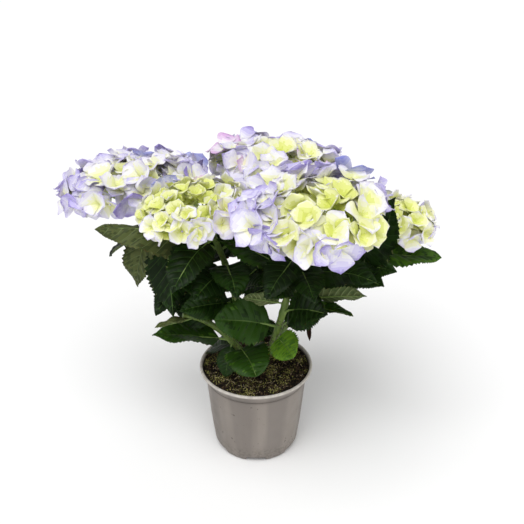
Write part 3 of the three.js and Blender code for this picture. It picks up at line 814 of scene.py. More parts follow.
def blade_middle(leaf, rng, seed):
    """The middle face of a quilted, toothed blade with sunken side veins."""
    v = BLADE_COLUMNS[None]
    wide = np.abs(v)
    saw = (np.arange(len(SHARE)) % 2 - 0.5)[:, None] * rng.uniform(*TOOTH_UNEVEN, (len(SHARE), 1))
    blade = leaf["length"] * (1 - PETIOLE_SHARE)
    pinch = 1 - TIP_PINCH * np.clip((SHARE - TIP_FROM) / (1 - TIP_FROM), 0, 1) ** TIP_POWER
    roundness = min(1.0, max(0.0, (leaf["aspect"] - LEAF_ASPECT) / DISC_WIDER))
    disc = np.sqrt(np.clip(1 - (2 * SHARE ** DISC_LEAN - 1) ** 2, 0, 1))
    outline = ovate(SHARE) * pinch * (1 - roundness) + disc * roundness
    half = np.maximum(blade * leaf["aspect"] * outline, LEAST_HALF)
    half[0] = FOOT_HALF
    half[-1] = TIP_HALF
    margin = np.where(wide == 1, 1 + TOOTH * saw, 1)

    fold = leaf["fold"] * (1 - FOLD_EASE * wide)
    from_vein = np.minimum(np.abs(ROW_OFFSET), 1 - np.abs(ROW_OFFSET))
    inside = np.clip(wide / QUILT_FROM, 0, 1) * (1 - wide ** 4)
    bulge = leaf["length"] * QUILT * np.sin(pi * np.clip(from_vein, 0, 0.5)) * inside
    phase = rng.uniform(*RIPPLES) * SHARE + rng.uniform(0, 1) + 0.25 * np.sign(v)
    ripple = RIPPLE * leaf["length"] * wide ** 2 * np.sin(2 * pi * phase)
    curl = leaf["length"] * CURL * waves(SHARE * 5, v * 2.2, seed)
    calm = np.clip(SHARE / CALM_FOOT, 0, 1) * np.clip((1 - SHARE) / CALM_TIP, 0, 1)
    above = wide * half * np.sin(fold) + (bulge + ripple + curl) * calm
    s = PETIOLE_SHARE + (1 - PETIOLE_SHARE) * SHARE
    return leaf_points(leaf, s, v * half * margin * np.cos(fold), above)


def blade_looks(tone, rng, seed):
    """Looks of a blade's upper and under faces, mottled round its tone."""
    share = (SHARE[:-1, :-1] + SHARE[1:, 1:]) / 2
    v = np.broadcast_to((BLADE_COLUMNS[:-1] + BLADE_COLUMNS[1:]) / 2, share.shape)
    shade = tone + MOTTLE * waves(share * 9, v * 4, seed + 1)
    shade = shade + MOTTLE_GRAIN * rng.uniform(-1, 1, share.shape)
    if tone == WITHERED:
        return np.full(share.shape, WITHERED), np.full(share.shape, WITHERED)
    on_vein = ON_VEIN[:-1] & ON_VEIN[1:] & (np.abs(v) < VEIN_STOPS)
    on_rib = np.abs(v) < RIB_HALF
    pale = np.where(waves(share * 8, v * 4, seed + 2) > PALE_ABOVE, UNDER_PALE, UNDER)
    under = np.where(on_vein, UNDER_VEIN, pale)
    if tone in (OLIVE_DARK, OLIVE):
        return np.where(on_vein | on_rib, UNDER_PALE, np.where(shade > tone, tone + 1, tone)), under
    upper = np.clip(np.round(shade), DEEP, BRIGHT).astype(int)
    return np.where(on_rib, RIB, np.where(on_vein, VEIN, upper)), under


def add_leaf(leaves, stalks, leaf, seed):
    """One fine leaf: a thin blade, and below it the raised midrib that runs on into the petiole."""
    rng = np.random.default_rng(seed)
    middle = blade_middle(leaf, rng, seed + 7)
    upper, under = blade_looks(leaf["tone"], rng, seed)
    thick = np.where(ON_VEIN, UNDER_VEIN_THICK, UNDER_THICK) * np.ones(len(BLADE_COLUMNS))
    add_shell(leaves, middle, UPPER_THICK, thick[..., None], upper.ravel(), under.ravel())

    petiole = np.linspace(0, PETIOLE_SHARE, PETIOLE_ROWS, endpoint=False)
    s = np.concatenate([petiole, np.linspace(PETIOLE_SHARE, RIB_PLACES[-1], RIB_ROWS)])
    sink = np.where(s > PETIOLE_SHARE, RIB_SINK, PETIOLE_SINK * s / PETIOLE_SHARE)
    radius = np.interp(s, RIB_PLACES, RIB_THICK) * min(1.0, leaf["length"] / STOUT_LENGTH)
    add_tube(stalks, leaf_points(leaf, s, np.zeros(len(s)), -sink), radius, RIB_SIDES, PETIOLE)


# ---- stems

# Swellings at leaf pairs, in millimetres and as a share of the stem; then shares of the stem's radius.
NODE_SWELL = 0.5
NODE_SPREAD = 0.012
STEM_WOBBLE = 0.12
STEM_SIDES = 14
STEM_ROWS = 220
STEM_LEAST_ROWS = 10
STEM_RIDGES = 3
RIDGE_TALL = 0.05
BARK_ROUGH = 0.03
FLECK_SHARE = 0.035
# How woody a stem's foot is, how much less at its end, and how uneven that is.
WOODY = (0.9, 2.6, 0.35)


def stem_run(name, start, end, rows):
    """Path and radius of a fine stem, swollen a little at each leaf pair."""
    t = np.linspace(start, end, rows)
    radius = cane_radius(t)
    for pair in STEMS[name][3]:
        radius = radius + NODE_SWELL * np.exp(-((t - pair[0]) / NODE_SPREAD) ** 2)
    wobble = STEM_WOBBLE * waves(t * 60, t * 23, len(name))
    return t, on_stem(name, t), radius + wobble


def add_stem(pile, name, start, end, seed):
    """A fine stem with ridges, dealt green, dark and flecked colours that turn to wood towards the crown."""
    rng = np.random.default_rng(seed)
    rows = max(STEM_LEAST_ROWS, int((end - start) * STEM_ROWS))
    t, path, radius = stem_run(name, start, end, rows)
    around = np.arange(STEM_SIDES)[None]
    flecked = rng.uniform(size=(rows - 1, STEM_SIDES)) < FLECK_SHARE
    foot, less, uneven = WOODY
    old = foot - less * t[:-1, None] + uneven * waves(t[:-1, None] * 30, around * 0.9, seed)
    wooden = old > rng.uniform(size=flecked.shape)
    looks = np.where(wooden, CANE_DARK, np.where(flecked, FLECK, CANE_GREEN))
    ridges = RIDGE_TALL * np.sin(around * 2 * pi * STEM_RIDGES / STEM_SIDES)
    lumps = 1 + ridges + BARK_ROUGH * rng.uniform(-1, 1, (rows, STEM_SIDES))
    add_tube(pile, path, radius, STEM_SIDES, CANE_GREEN, looks, lumps)


# ---- flower heads

# Layers of florets in a head: how many for each one in the solid, their size, how deep they sit, and how
# many shades greener they are painted, as painted shade between the florets.
LAYERS = ((1.15, 1.1, 8.5, 0.0), (0.9, 1.0, 16.0, 1.1), (0.5, 0.9, 24.0, 2.2))
# How unevenly florets face, how far that shifts them, and how much they look up.
FACING_UNEVEN = 0.27
FACING_SHIFT = 6
FACING_UP = 0.12
SINK_UNEVEN = (-2, 5)
RIM_SINKS = 0.5
RIM_RISE = 22
# How ripe the florets of a head's upper side get on average, and how much they differ.
RIPEST = 0.72
RIPE_UNEVEN = (-0.18, 0.18)
# A floret's size as a share of its head's reach: a young one's, how much larger when ripe, how much
# smaller at the rim, and how much they differ.
YOUNG_SIZE = 0.86
RIPE_LARGER = 0.46
RIM_SMALLER = 0.9
SIZE_UNEVEN = (-0.08, 0.1)
HUES = ["lilac", "blue", "pink"]
HEAD_SEED_STEP = 7
# Stem and place of the leaf that stands up between the two heads at the right, and the part of its
# samples, rows and columns, that florets keep clear of.
UPRIGHT_LEAF = ("right", 0.74)
UPRIGHT_PART = (slice(2, None), slice(1, 4))
# The way that leaf's upper edge faces, how far ahead it is kept free, and how near a floret may come to
# it, as a share of its reach.
FRONT_UP = np.array((0.0, -0.87, 0.49))
FREE_AHEAD = 110
FREE_SHARE = 0.9


def fine_florets(name, head):
    """Florets for one head: an outer layer close together, and others inside that close the gaps, painted
    greener as painted shade.
    """
    rng = np.random.default_rng(head["florets"] * HEAD_SEED_STEP + 1)
    turn = head_turn(head)
    a, b, c = head["half"]
    made = []
    for layer, (share, scale, sink, painted_shade) in enumerate(LAYERS):
        count = int(head["florets"] * share * head["dense"])
        for n, u in enumerate(dome_heights(head, count)):
            level = sqrt(max(0.0, 1 - u * u))
            angle = n * GOLDEN + layer
            x = level * cos(angle)
            y = level * sin(angle)
            at = turn @ np.array((a * x, b * y, c * u)) + np.array(head["centre"])
            facing = unit(turn @ np.array((x / a, y / b, u / c)))
            sideways = rng.normal(size=3) * FACING_UNEVEN
            deep = (sink + rng.uniform(*SINK_UNEVEN)) * (1 - RIM_SINKS * level ** 2)
            at = at - facing * deep + sideways * FACING_SHIFT
            facing = unit(facing + sideways + np.array((0, 0, FACING_UP)))
            away = hypot(x - head["young"][0], y - head["young"][1])
            low = max(0.0, -u)
            at = at + (0, 0, RIM_RISE * low - head["settled"])
            ripe = min(head["ripe"] + head["ripening"] * away, RIPEST) + rng.uniform(*RIPE_UNEVEN)
            ripe += head["rim"] * low / -DOME_END * (1 - y) / 2
            ripe = float(np.clip(ripe, 0, 1))
            size = YOUNG_SIZE + RIPE_LARGER * ripe - RIM_SMALLER * low + rng.uniform(*SIZE_UNEVEN)
            made.append({
                "at": at,
                "facing": facing,
                "reach": head["reach"] * scale * size / sqrt(head["dense"]),
                "spin": rng.uniform(0, pi),
                "ripe": ripe,
                "kind": rng.choice(HUES, p=head["odds"]),
                "painted_shade": painted_shade,
                "seed": int(rng.integers(1 << 30)),
            })
    return [floret for floret in made if keeps_to_head(name, floret)]


RIM_START = (0.3, 0.5, 0.81)
RIM_POINTS = 8


def keeps_to_head(name, floret):
    """Whether a floret keeps to its own head's side of the space between two heads."""
    side = unit(np.cross(floret["facing"], RIM_START))
    other_way = np.cross(floret["facing"], side)
    angles = np.arange(RIM_POINTS) * 2 * pi / RIM_POINTS
    rim = np.outer(np.cos(angles), side) + np.outer(np.sin(angles), other_way)
    points = np.concatenate([[floret["at"]], floret["at"] + floret["reach"] * rim])
    own = head_reach(HEADS[name], points) + HEAD_MARGIN
    return all((own < head_reach(head, points)).all() for other, head in HEADS.items() if other != name)


def clear_of_leaf(floret, samples):
    """Whether a floret leaves room for the leaf that stands up between two heads, and for its front."""
    apart = samples - floret["at"]
    ahead = np.clip(-(apart @ FRONT_UP), 0, FREE_AHEAD)
    apart = apart + ahead[:, None] * FRONT_UP
    return bool(np.linalg.norm(apart, axis=1).min() > FREE_SHARE * floret["reach"])


SEPALS = 4
SEPAL_ROWS = 10
SEPAL_COLUMNS = 10
SEPAL_THICK = 0.2
SEPAL_FROM = 0.05
SEPAL_START = (0.21, 0.93, 0.31)
ROW_CROWDING = 1.35
# Places along a sepal, from its eye to its tip, and across it.
SEPAL_R = 1 - (1 - np.linspace(SEPAL_FROM, 1, SEPAL_ROWS)) ** ROW_CROWDING
SEPAL_W = np.linspace(-1, 1, SEPAL_COLUMNS)
EYE_OUTLINE = 0.16
TIP_OUTLINE = 0.05
# Spans that a sepal's form is drawn from: shares of its floret's reach or of its own length, angles in
# radians, and factors for its bend and outline.
SPANS = {
    "openness": (-0.1, 0.1),
    "lean": (1.1, 1.45),
    "blunt": (0.55, 0.8),
    "turn": (-0.1, 0.1),
    "length": (0.9, 1.1),
    "breadth": (0.46, 0.54),
    "rise": (-0.22, 0.22),
    "bend": (0.1, 1.9),
    "twist": (0.08, 0.2),
    "cup": (0.0, 0.4),
    "rim": (-0.3, 0.1),
    "frill": (0.04, 0.10),
    "phase": (0, 6.28),
    "frills": (5, 10),
}
# A young sepal's rise and bend in degrees, and how those change until it is ripe.
SEPAL_RISE = (58, -24)
SEPAL_BEND = (-34, -8)
# Every other sepal starts above its neighbours.
OVERLAP = (-0.3, 0.5)
CUP_EASE = 0.7
CUP_DRAWS_IN = 0.08
FRILL_POWER = 2.5
CREASE = 0.035
CREASE_HALF = 0.16
TIP_PULL = 0.1
# Shades along a sepal: at its eye, how many more when ripe, how many more at its tip and its edge for a
# young one and on top of that for a ripe one, how uneven they are, and how much riper its underside is.
EYE_SHADE = 1.2
RIPE_SHADE = 5.4
RIPE_POWER = 1.3
TIP_SHADE = (2.8, 3.2)
TIP_SHADE_POWER = 1.15
EDGE_SHADE = (0.4, 1.0)
SHADE_WAVES = 0.4
SHADE_GRAIN = 0.15
BELOW_SHADE = 0.6
BEAD_RADIUS = 1.15
BEAD_RISE = 0.9
BEAD_ROUGH = 0.06
BEAD_RIPE = 0.6
YOUNG_BEAD = list(SEPAL_COLOURS).index("pale_lime")
RIPE_BEAD_SHADE = 9
WAVE_SEEDS = 9973


def sepal_middle(floret, number, outline, openness, rng):
    """The middle face of one broad cupped sepal with a curled, wavy edge."""
    def draw(name):
        return rng.uniform(*SPANS[name])

    ripe = floret["ripe"]
    facing = floret["facing"]
    side = unit(np.cross(facing, SEPAL_START))
    angle = floret["spin"] + number * 2 * pi / SEPALS + draw("turn")
    out = side * cos(angle) + np.cross(facing, side) * sin(angle)
    across = np.cross(facing, out)
    length = floret["reach"] * draw("length")
    width = (length * draw("breadth") * outline)[:, None]
    rise = radians(SEPAL_RISE[0] + SEPAL_RISE[1] * ripe) * (1 + openness) + draw("rise")
    bend = radians(SEPAL_BEND[0] + SEPAL_BEND[1] * ripe) * draw("bend")
    slope = rise + bend * SEPAL_R
    step = np.diff(np.concatenate([[0], SEPAL_R])) * length
    r = SEPAL_R[:, None]
    w = SEPAL_W[None]
    far = np.cumsum(np.cos(slope) * step)[:, None]
    tall = (np.cumsum(np.sin(slope) * step) + OVERLAP[number % 2])[:, None]
    twist = draw("twist")
    cup = draw("cup") * (1 - CUP_EASE * r ** 2) + draw("rim") * r ** 2
    frill = draw("frill") * length * np.sin(draw("phase") + r * draw("frills"))
    crease = -CREASE * length * np.exp(-(w / CREASE_HALF) ** 2)
    height = (
        tall
        + width * (twist * w + cup * w ** 2)
        + frill * np.abs(w) ** FRILL_POWER * np.sign(w)
        + crease * np.sin(pi * r)
    )
    pull = TIP_PULL * length * w ** 2 * r ** 2
    return (
        floret["at"]
        + out * (far - pull)[..., None]
        + across * (width * w * (1 - CUP_DRAWS_IN * cup))[..., None]
        + facing * height[..., None]
    )


def sepal_shade(floret, number, rng):
    """How far along its shades each face of a sepal is; inner layers start further back, as painted shade.
    """
    ripe = floret["ripe"]
    w, r = np.meshgrid(np.abs(SEPAL_W[:-1] + SEPAL_W[1:]) / 2, (SEPAL_R[:-1] + SEPAL_R[1:]) / 2)
    # Faces of inner-layer florets step back towards the deepest green: painted shade between florets.
    return (
        RIPE_SHADE * ripe ** RIPE_POWER + EYE_SHADE - floret["painted_shade"]
        + r ** TIP_SHADE_POWER * (TIP_SHADE[0] + TIP_SHADE[1] * ripe)
        + (EDGE_SHADE[0] + EDGE_SHADE[1] * ripe) * w ** 2 * r
        + SHADE_WAVES * waves(r * 5, w * 4, floret["seed"] % WAVE_SEEDS + number)
        + SHADE_GRAIN * rng.uniform(-1, 1, r.shape)
    )


def add_floret(pile, floret):
    """Four sepals round a bead, each a thin shell."""
    rng = np.random.default_rng(floret["seed"])
    shades = SHADES[floret["kind"]]
    openness = rng.uniform(*SPANS["openness"])
    outline = np.sin(pi * SEPAL_R ** rng.uniform(*SPANS["lean"])) ** rng.uniform(*SPANS["blunt"])
    outline[0] = EYE_OUTLINE
    outline[-1] = TIP_OUTLINE
    for number in range(SEPALS):
        middle = sepal_middle(floret, number, outline, openness, rng)
        shade = sepal_shade(floret, number, rng)
        upper, lower = (
            shades[np.clip(shade + below, 0, len(shades) - 1).astype(int)] for below in (0, BELOW_SHADE)
        )
        add_shell(pile, middle, SEPAL_THICK, SEPAL_THICK, upper.ravel(), lower.ravel())
    bead = floret["at"] + floret["facing"] * BEAD_RISE
    look = YOUNG_BEAD if floret["ripe"] < BEAD_RIPE else shades[RIPE_BEAD_SHADE]
    add_grains(pile, bead[None], [[BEAD_RADIUS] * 3], rng, look, BEAD_ROUGH)


# Rays of a head's stalk: their turn, number, reach as a share of the head, and height.
RAYS = ((0, 5, 0.5, 0.0), (1, 3, 0.18, 2.0))
RAY_TURN = 0.3
RAY_SAG = 5.0
RAY_STEPS = 6
RAY_SIDES = 8
RAY_RADIUS = (1.9, 1.3)
STALK_ROWS = 8
STALK_SIDES = 12
FORK_AFTER = 0.03
PEDICEL_STEPS = 6
PEDICEL_SIDES = 5
PEDICEL_RADIUS = (0.85, 0.6)
PEDICEL_KNEE = 4
PEDICEL_SINK = 0.4


def add_stalks(pile, name, head, florets):
    """The head's own stalk, its rays, and a thin pedicel to every floret."""
    turn = head_turn(head)
    start = HEAD_STEM + gap_share(name)
    _, path, radius = stem_run(name, start, 1, STALK_ROWS)
    add_tube(pile, path, radius, STALK_SIDES, FLOWER_STALK)
    fork = on_stem(name, start + FORK_AFTER)[0]
    a, b, _ = head["half"]
    ends = []
    for ring, count, share, tall in RAYS:
        for i in range(count):
            angle = 2 * pi * (i + RAY_TURN) / count + ring
            out = np.array((cos(angle) * a * share, sin(angle) * b * share, tall))
            end = turn @ out + np.array(head["centre"])
            places = np.arange(RAY_STEPS + 1)[:, None] / RAY_STEPS
            curve = fork + (end - fork) * places - (0, 0, RAY_SAG) * np.sin(pi * places)
            add_tube(pile, curve, np.linspace(*RAY_RADIUS, RAY_STEPS + 1), RAY_SIDES, FLOWER_STALK)
            ends.append(end)
    ends = np.array(ends)
    for floret in florets:
        foot = ends[np.argmin(np.linalg.norm(ends - floret["at"], axis=1))]
        top = floret["at"] - floret["facing"] * PEDICEL_SINK
        knee = (foot + top) / 2 - floret["facing"] * PEDICEL_KNEE
        places = np.linspace(0, 1, PEDICEL_STEPS)[:, None]
        curve = (1 - places) ** 2 * foot + 2 * places * (1 - places) * knee + places ** 2 * top
        add_tube(pile, curve, np.linspace(*PEDICEL_RADIUS, PEDICEL_STEPS), PEDICEL_SIDES, FLOWER_STALK)


def dress_heads(leaves):
    """The florets and stalks of every head, clear of the leaf that stands between two of them."""
    upright = next(leaf for leaf in leaves if (leaf["stem"], leaf["place"]) == UPRIGHT_LEAF)
    samples = upright["samples"].reshape(SAMPLE_ROWS, SAMPLE_COLUMNS, 3)
    between = samples[UPRIGHT_PART].reshape(-1, 3)
    for name, head in HEADS.items():
        blossom = Pile()
        stalks = Pile()
        florets = [floret for floret in fine_florets(name, head) if clear_of_leaf(floret, between)]
        for floret in florets:
            add_floret(blossom, floret)
        add_stalks(stalks, name, head, florets)
        slot = "blossom_lilac" if name in ("left", "back") else "blossom_cream"
        piece("blossom_" + name, blossom, SEPAL_LOOKS, slot, "flower_head_" + name)
        piece("flower_stalks_" + name, stalks, STALK_LOOKS, "green_cane", "flower_head_" + name)


# ---- foliage, canes and wood

# Seeds of the random numbers for each kind of piece; every leaf and head has its own.
SEEDS = {"tones": 5, "twigs": 31, "canes": 17, "wood": 3, "litter": 8, "leaves": 100}
# How far from dark green the tones of leaves lie.
TONE_SPAN = (-0.9, 0.8)
# Leaves whose colour stands out, by stem and place: the first of the pair, or both.
TONES = {
    ("front_left", 0.67): OLIVE_DARK,
    ("front_right", 0.47): OLIVE,
    ("front_right", 0.27): BRIGHT - 0.3,
    ("front_right", 0.33): GREEN - 0.2,
    ("low_left", 0.26): GREEN + 0.1,
    ("low_left", 0.36): DARK,
    ("low_left", 0.38): GREEN + 0.1,
    ("low_left", 0.86): OLIVE,
    ("right", 0.38): GREEN + 0.3,
    # The big leaf at 0.76 on the right gets a lighter green, partly its own colour and partly painted light
    # for the highlight it catches from above.
    ("right", 0.76): GREEN + 0.6,
    ("right", 0.37): WITHERED,
    ("front_left", 0.76): DEEP + 0.2,
    ("left", 0.8): DEEP + 0.3,
    ("left", 0.84): OLIVE_DARK,
}
# Pairs whose second leaf has the tone of the first.
ALIKE = {("front_right", 0.47)}


def dress_foliage(leaves):
    """The leaves and twigs of every mass, and the canes."""
    tones = np.random.default_rng(SEEDS["tones"])
    told = set()
    for name, (_, wood, enter, _) in STEMS.items():
        blades = Pile()
        twigs = Pile()
        last = HEAD_STEM if name in HEADS else 1.0
        add_stem(twigs, name, enter + gap_share(name), last, SEEDS["twigs"])
        for number, leaf in enumerate(leaves):
            if leaf["stem"] != name:
                continue
            pair = (name, leaf["place"])
            leaf["tone"] = DARK + tones.uniform(*TONE_SPAN)
            if pair in TONES and (pair in ALIKE or pair not in told):
                leaf["tone"] = TONES[pair]
                told.add(pair)
            add_leaf(blades, twigs, leaf, SEEDS["leaves"] + number)
        piece("foliage_" + name, blades, LEAF_LOOKS, "leaf", "leaves_" + name)
        piece("twigs_" + name, twigs, STALK_LOOKS, "green_cane", "leaves_" + name)
        if name in HEADS:
            cane = Pile()
            add_stem(cane, name, wood + gap_share(name), enter, SEEDS["canes"])
            piece("bark_cane_" + name, cane, STALK_LOOKS, "green_cane", "cane_" + name)


# Rows and sides of the wood's tubes, and shares of their radius by which the bark is level, torn in strips
# and rough; it stands out from the stems by its thickness.
CROWN_ROWS = 14
CROWN_SIDES = 28
WOOD_ROWS = 22
WOOD_SIDES = 18
BARK_THICK = 0.3
BARK_LEVEL = 0.96
TORN_STRIPS = 5
TORN_DEEP = 0.07
TORN_UNEVEN = 0.05
TORN_ROUGH = 0.02


def dress_wood():
    """The short forked base: a flare of old wood and the foot of every stem, with torn bark."""
    stops = (0.3, (0.030, 0.014, 0.010)), (0.55, (0.090, 0.045, 0.028)), (0.8, (0.200, 0.130, 0.085))
    strips = (160, 5, (1, 1, 0.2))
    wood = patterned("old_wood", 0.85, 0.25, strips, stops, (420, 5, (1, 1, 0.3)), 0.6, 0.0012)
    pile = Pile()
    rng = np.random.default_rng(SEEDS["wood"])
    rise = np.linspace(0, 1, CROWN_ROWS)
    flat = np.zeros(CROWN_ROWS)
    path = np.stack([flat, flat, GROUND + GAP + CROWN_TALL * rise], 1)
    flare = CROWN_RADIUS[0] + (CROWN_RADIUS[1] - CROWN_RADIUS[0]) * np.sqrt(rise)
    runs = [(path, flare, CROWN_SIDES)]
    for name, stem in STEMS.items():
        _, line, radius = stem_run(name, 0, stem[1], WOOD_ROWS)
        runs.append((line, radius + BARK_THICK, WOOD_SIDES))
    for line, radius, sides in runs:
        around = np.arange(sides)[None] * 2 * pi / sides
        along = np.arange(len(line))[:, None]
        torn = TORN_DEEP * np.sin(around * TORN_STRIPS + along * 0.25)
        torn = torn + TORN_UNEVEN * waves(around * 3, along * 0.6, sides)
        lumps = BARK_LEVEL + torn + TORN_ROUGH * rng.uniform(-1, 1, torn.shape)
        add_tube(pile, line, radius, sides, 0, lumps=lumps)
    piece("bark_woody_base", pile, [wood], "bark", "woody_base")


# ---- pot

POT_SEGMENTS = 192
# The ring between the pot's feet: where the notches' width is measured, and where the ring starts.
FOOT_MIDDLE = 46
FOOT_INNER = 34
# How far past its half width a notch starts to rise, and over how much width it rises.
NOTCH_FLARE = (1.2, 1.8)
# Heights in metres: of the painted shade in the groove, and where the lip's wear and painted highlight and
# the foot's scuffs run out.
GROOVE_SHADE = (0.0924, 0.0929, 0.0936, 0.0940)
LIP_WEAR_AND_HIGHLIGHT = (0.1038, 0.1056)
FOOT_SCUFFS = (0.024, 0.0)


def pot_profile():
    """Radius and height round the pot's wall, from under its middle to the middle of its floor."""
    foot = [(0.4, 2.0), (30, 2.0), (34.5, 1.9), (36.2, 1.2), (37.0, 0.0), (41.0, 0.0), (44.8, 0.0)]
    wall = [
        (46.3, 0.6), (47.5, 2.3), (48.5, 4.9), (49.2, 8.0), (50.2, 16), (52.0, 30), (53.6, 45), (54.9, 60),
        (56.3, 76), (57.2, 87), (57.6, 91.8), (57.6, 92.5), (56.4, 92.9), (56.4, 93.5), (58.2, 93.9),
        (58.4, 94.8),
    ]
    flare = [(58.7, 96.2), (59.4, 98.0), (60.4, 99.8), (61.6, 101.6), (62.7, 102.6), (63.4, 103.0)]
    lip = [
        (64.2, 103.4), (64.8, 104.1), (65.0, 105.1), (64.8, 106.0), (64.2, 106.7), (63.4, POT_TOP),
        (62.6, POT_TOP),
    ]
    inner = [
        (62.1, POT_TOP - 0.6), (61.8, 104.8), (61.2, 102.6), (59.2, 99.9), (57.6, 96.6), (57.0, 94.6),
        (56.3, 92.5), (54.2, 68), (52.3, 45), (48.0, 9), (46.8, 5.8), (43.6, FLOOR_THICK + 0.2),
        (30, FLOOR_THICK), (0.4, FLOOR_THICK),
    ]
    return np.array(foot + wall + flare + lip + inner)


def pot_material():
    """Grey-brown plastic: faint streaks that double as painted reflection bands, painted shade in the
    groove, a worn lip with a painted highlight, scuffs and specks.
    """
    material, tree, shader = principled("grower_pot", Specular_IOR_Level=0.35)
    cloud = noise(tree, 14, 4, stretch=(1, 1, 0.35))
    # Faint vertical streaks, made strong and broad enough to serve as painted reflection bands down the
    # wall.
    streaks_and_reflections = noise(tree, 34, 2, stretch=(1, 1, 0.02))
    body = ramp(tree, cloud, (0.3, (0.218, 0.189, 0.164)), (0.7, (0.280, 0.247, 0.218)))
    streak_and_reflection_tint = ramp(tree, streaks_and_reflections, (0.42, (0.80, 0.80, 0.81)), (0.56, (1.0, 1.0, 1.0)))
    colour = mix(tree, 1.0, body, streak_and_reflection_tint, "MULTIPLY")
    specks = ramp(tree, noise(tree, 190, 3), (0.69, (0.0,)), (0.73, (1.0,)))
    colour = mix(tree, specks, colour, (0.085, 0.070, 0.055))
    place = add_node(tree, "TexCoord").outputs["Object"]
    height = add_node(tree, "SeparateXYZ", Vector=place).outputs["Z"]
    scuffs = ramp(tree, noise(tree, 330, 5), (0.47, (0.0,)), (0.60, (1.0,)))
    colour = mix(tree, fade(tree, height, FOOT_SCUFFS, scuffs), colour, (0.130, 0.110, 0.090))
    # Painted shade darkens the groove under the collar.
    painted_groove_shade = [(at, (share,)) for at, share in zip(GROOVE_SHADE, (0.0, 0.7, 0.7, 0.0))]
    colour = mix(tree, ramp(tree, height, *painted_groove_shade), colour, (0.075, 0.063, 0.052))
    # The lip is lightened by uneven wear and by a painted highlight along its edge.
    rubbed_and_lit = ramp(tree, noise(tree, 150, 4), (0.25, (0.45,)), (0.6, (1.0,)))
    colour = mix(tree, fade(tree, height, LIP_WEAR_AND_HIGHLIGHT, rubbed_and_lit), colour, (0.600, 0.560, 0.510))
    tree.links.new(colour, shader.inputs["Base Color"])
    uneven = ramp(tree, noise(tree, 90, 4), (0.3, (0.42,)), (0.7, (0.60,)))
    tree.links.new(uneven, shader.inputs["Roughness"])
    relief(tree, shader, noise(tree, 520, 3), 0.12, 0.0005)
    return material


def dress_pot():
    """The pot's shell, with notches cut up into its foot."""
    profile = pot_profile()
    angle = np.arange(POT_SEGMENTS) * 2 * pi / POT_SEGMENTS
    radius = profile[:, :1] * np.ones(POT_SEGMENTS)
    height = profile[:, 1:] * np.ones(POT_SEGMENTS)
    turn = 2 * pi / NOTCHES
    from_notch = np.abs(angle % turn - turn / 2) * FOOT_MIDDLE
    open_share = np.clip((NOTCH_WIDE / 2 + NOTCH_FLARE[0] - from_notch) / NOTCH_FLARE[1], 0, 1)
    outside = np.arange(len(profile))[:, None] < len(profile) / 2
    foot = outside & (height < NOTCH_TALL) & (radius > FOOT_INNER)
    height = np.where(foot, height + open_share * (NOTCH_TALL - height), height)
    rings = np.stack([radius * np.cos(angle), radius * np.sin(angle), height], -1)
    pile = Pile()
    add_rings(pile, rings, [(0, 0, profile[0, 1]), (0, 0, profile[-1, 1])], 0)
    piece("pot_shell", pile, [pot_material()], "pot_plastic", "pot")


# ---- compost

SOIL_EDGE = 61.0
SOIL_RINGS = 70
SOIL_SIDES = 170
SOIL_WALL = [
    (58.8, 99.6), (57.2, 96.4), (55.9, 91.5), (54.6, 76), (52.0, 45), (47.8, 9.5), (42, 6), (20, 5.2),
    (0.3, 5.2),
]
# Lumps: how tall, how fine, and the seed of their waves.
SOIL_LUMPS = ((1.5, 0.13, 11), (0.8, 0.5, 12), (0.35, 1.6, 13))
# Where the lumps begin round the crown and over how much they grow, and over how much they end at the wall.
LUMPS_FROM = (12, 10)
LUMPS_END = 6
LUMPS_LEAST = 0.1
# How much the top swells, from where and over how much.
SOIL_SWELL = (1.6, 20, 25)


def soil_height(x, y):
    """Top of the compost: level round the crown, then lumpy and a little higher, and calm at the wall."""
    radius = np.hypot(x, y)
    lumps = sum(tall * waves(x * fine, y * fine, seed) for tall, fine, seed in SOIL_LUMPS)
    start, over = LUMPS_FROM
    level = np.clip((radius - start) / over, 0, 1)
    level = level * np.clip((SOIL_EDGE - radius) / LUMPS_END, LUMPS_LEAST, 1)
    swell, start, over = SOIL_SWELL
    return GROUND + lumps * level + swell * np.clip((radius - start) / over, 0, 1)


def dress_soil():
    """The compost: its lumpy top, and the plain wall and underside inside the pot."""
    wall = np.array(SOIL_WALL)
    radius = np.concatenate([np.linspace(0.3, SOIL_EDGE, SOIL_RINGS), wall[:, 0]])[:, None]
    angle = np.arange(SOIL_SIDES) * 2 * pi / SOIL_SIDES
    x = radius * np.cos(angle)
    y = radius * np.sin(angle)
    height = soil_height(x, y)
    height[SOIL_RINGS:] = wall[:, 1:]
    pile = Pile()
    tips = [(0, 0, GROUND), (0, 0, wall[-1, 1])]
    add_rings(pile, np.stack([x, y, height], -1), tips, 0, turned=True)
    material, tree, shader = principled("peat", Roughness=0.95, Specular_IOR_Level=0.15)
    shades = ramp(
        tree, noise(tree, 300, 6),
        (0.30, (0.002, 0.0016, 0.0012)), (0.50, (0.010, 0.007, 0.004)), (0.72, (0.038, 0.028, 0.017)),
    )
    patches = ramp(tree, noise(tree, 55, 3), (0.56, (0.0,)), (0.70, (0.6,)))
    tree.links.new(mix(tree, patches, shades, (0.045, 0.046, 0.014)), shader.inputs["Base Color"])
    relief(tree, shader, noise(tree, 600, 6), 0.9, 0.002)
    piece("compost", pile, [material], "compost", "soil")


CRUMBS = 2200
MOSS_PATCHES = 80
MOSS_GRAINS = 3600
MOSS_SPREAD = 3.4
MOSS_INNER = 13
MOSS_SIZE = (0.25, 0.6)
MOSS_STRETCH = (1, 1, 1.6)
MOSS_LIFT = 0.5
MOSS_ROUGH = 0.35
PERLITE_GRAINS = 34
STRAWS = 90
STRAW_LENGTH = (3, 10)
STRAW_TILT = (-0.12, 0.12)
STRAW_RADIUS = (0.18, 0.34)
STRAW_LIFT = 0.9
STRAW_STEPS = 7
STRAW_SIDES = 5


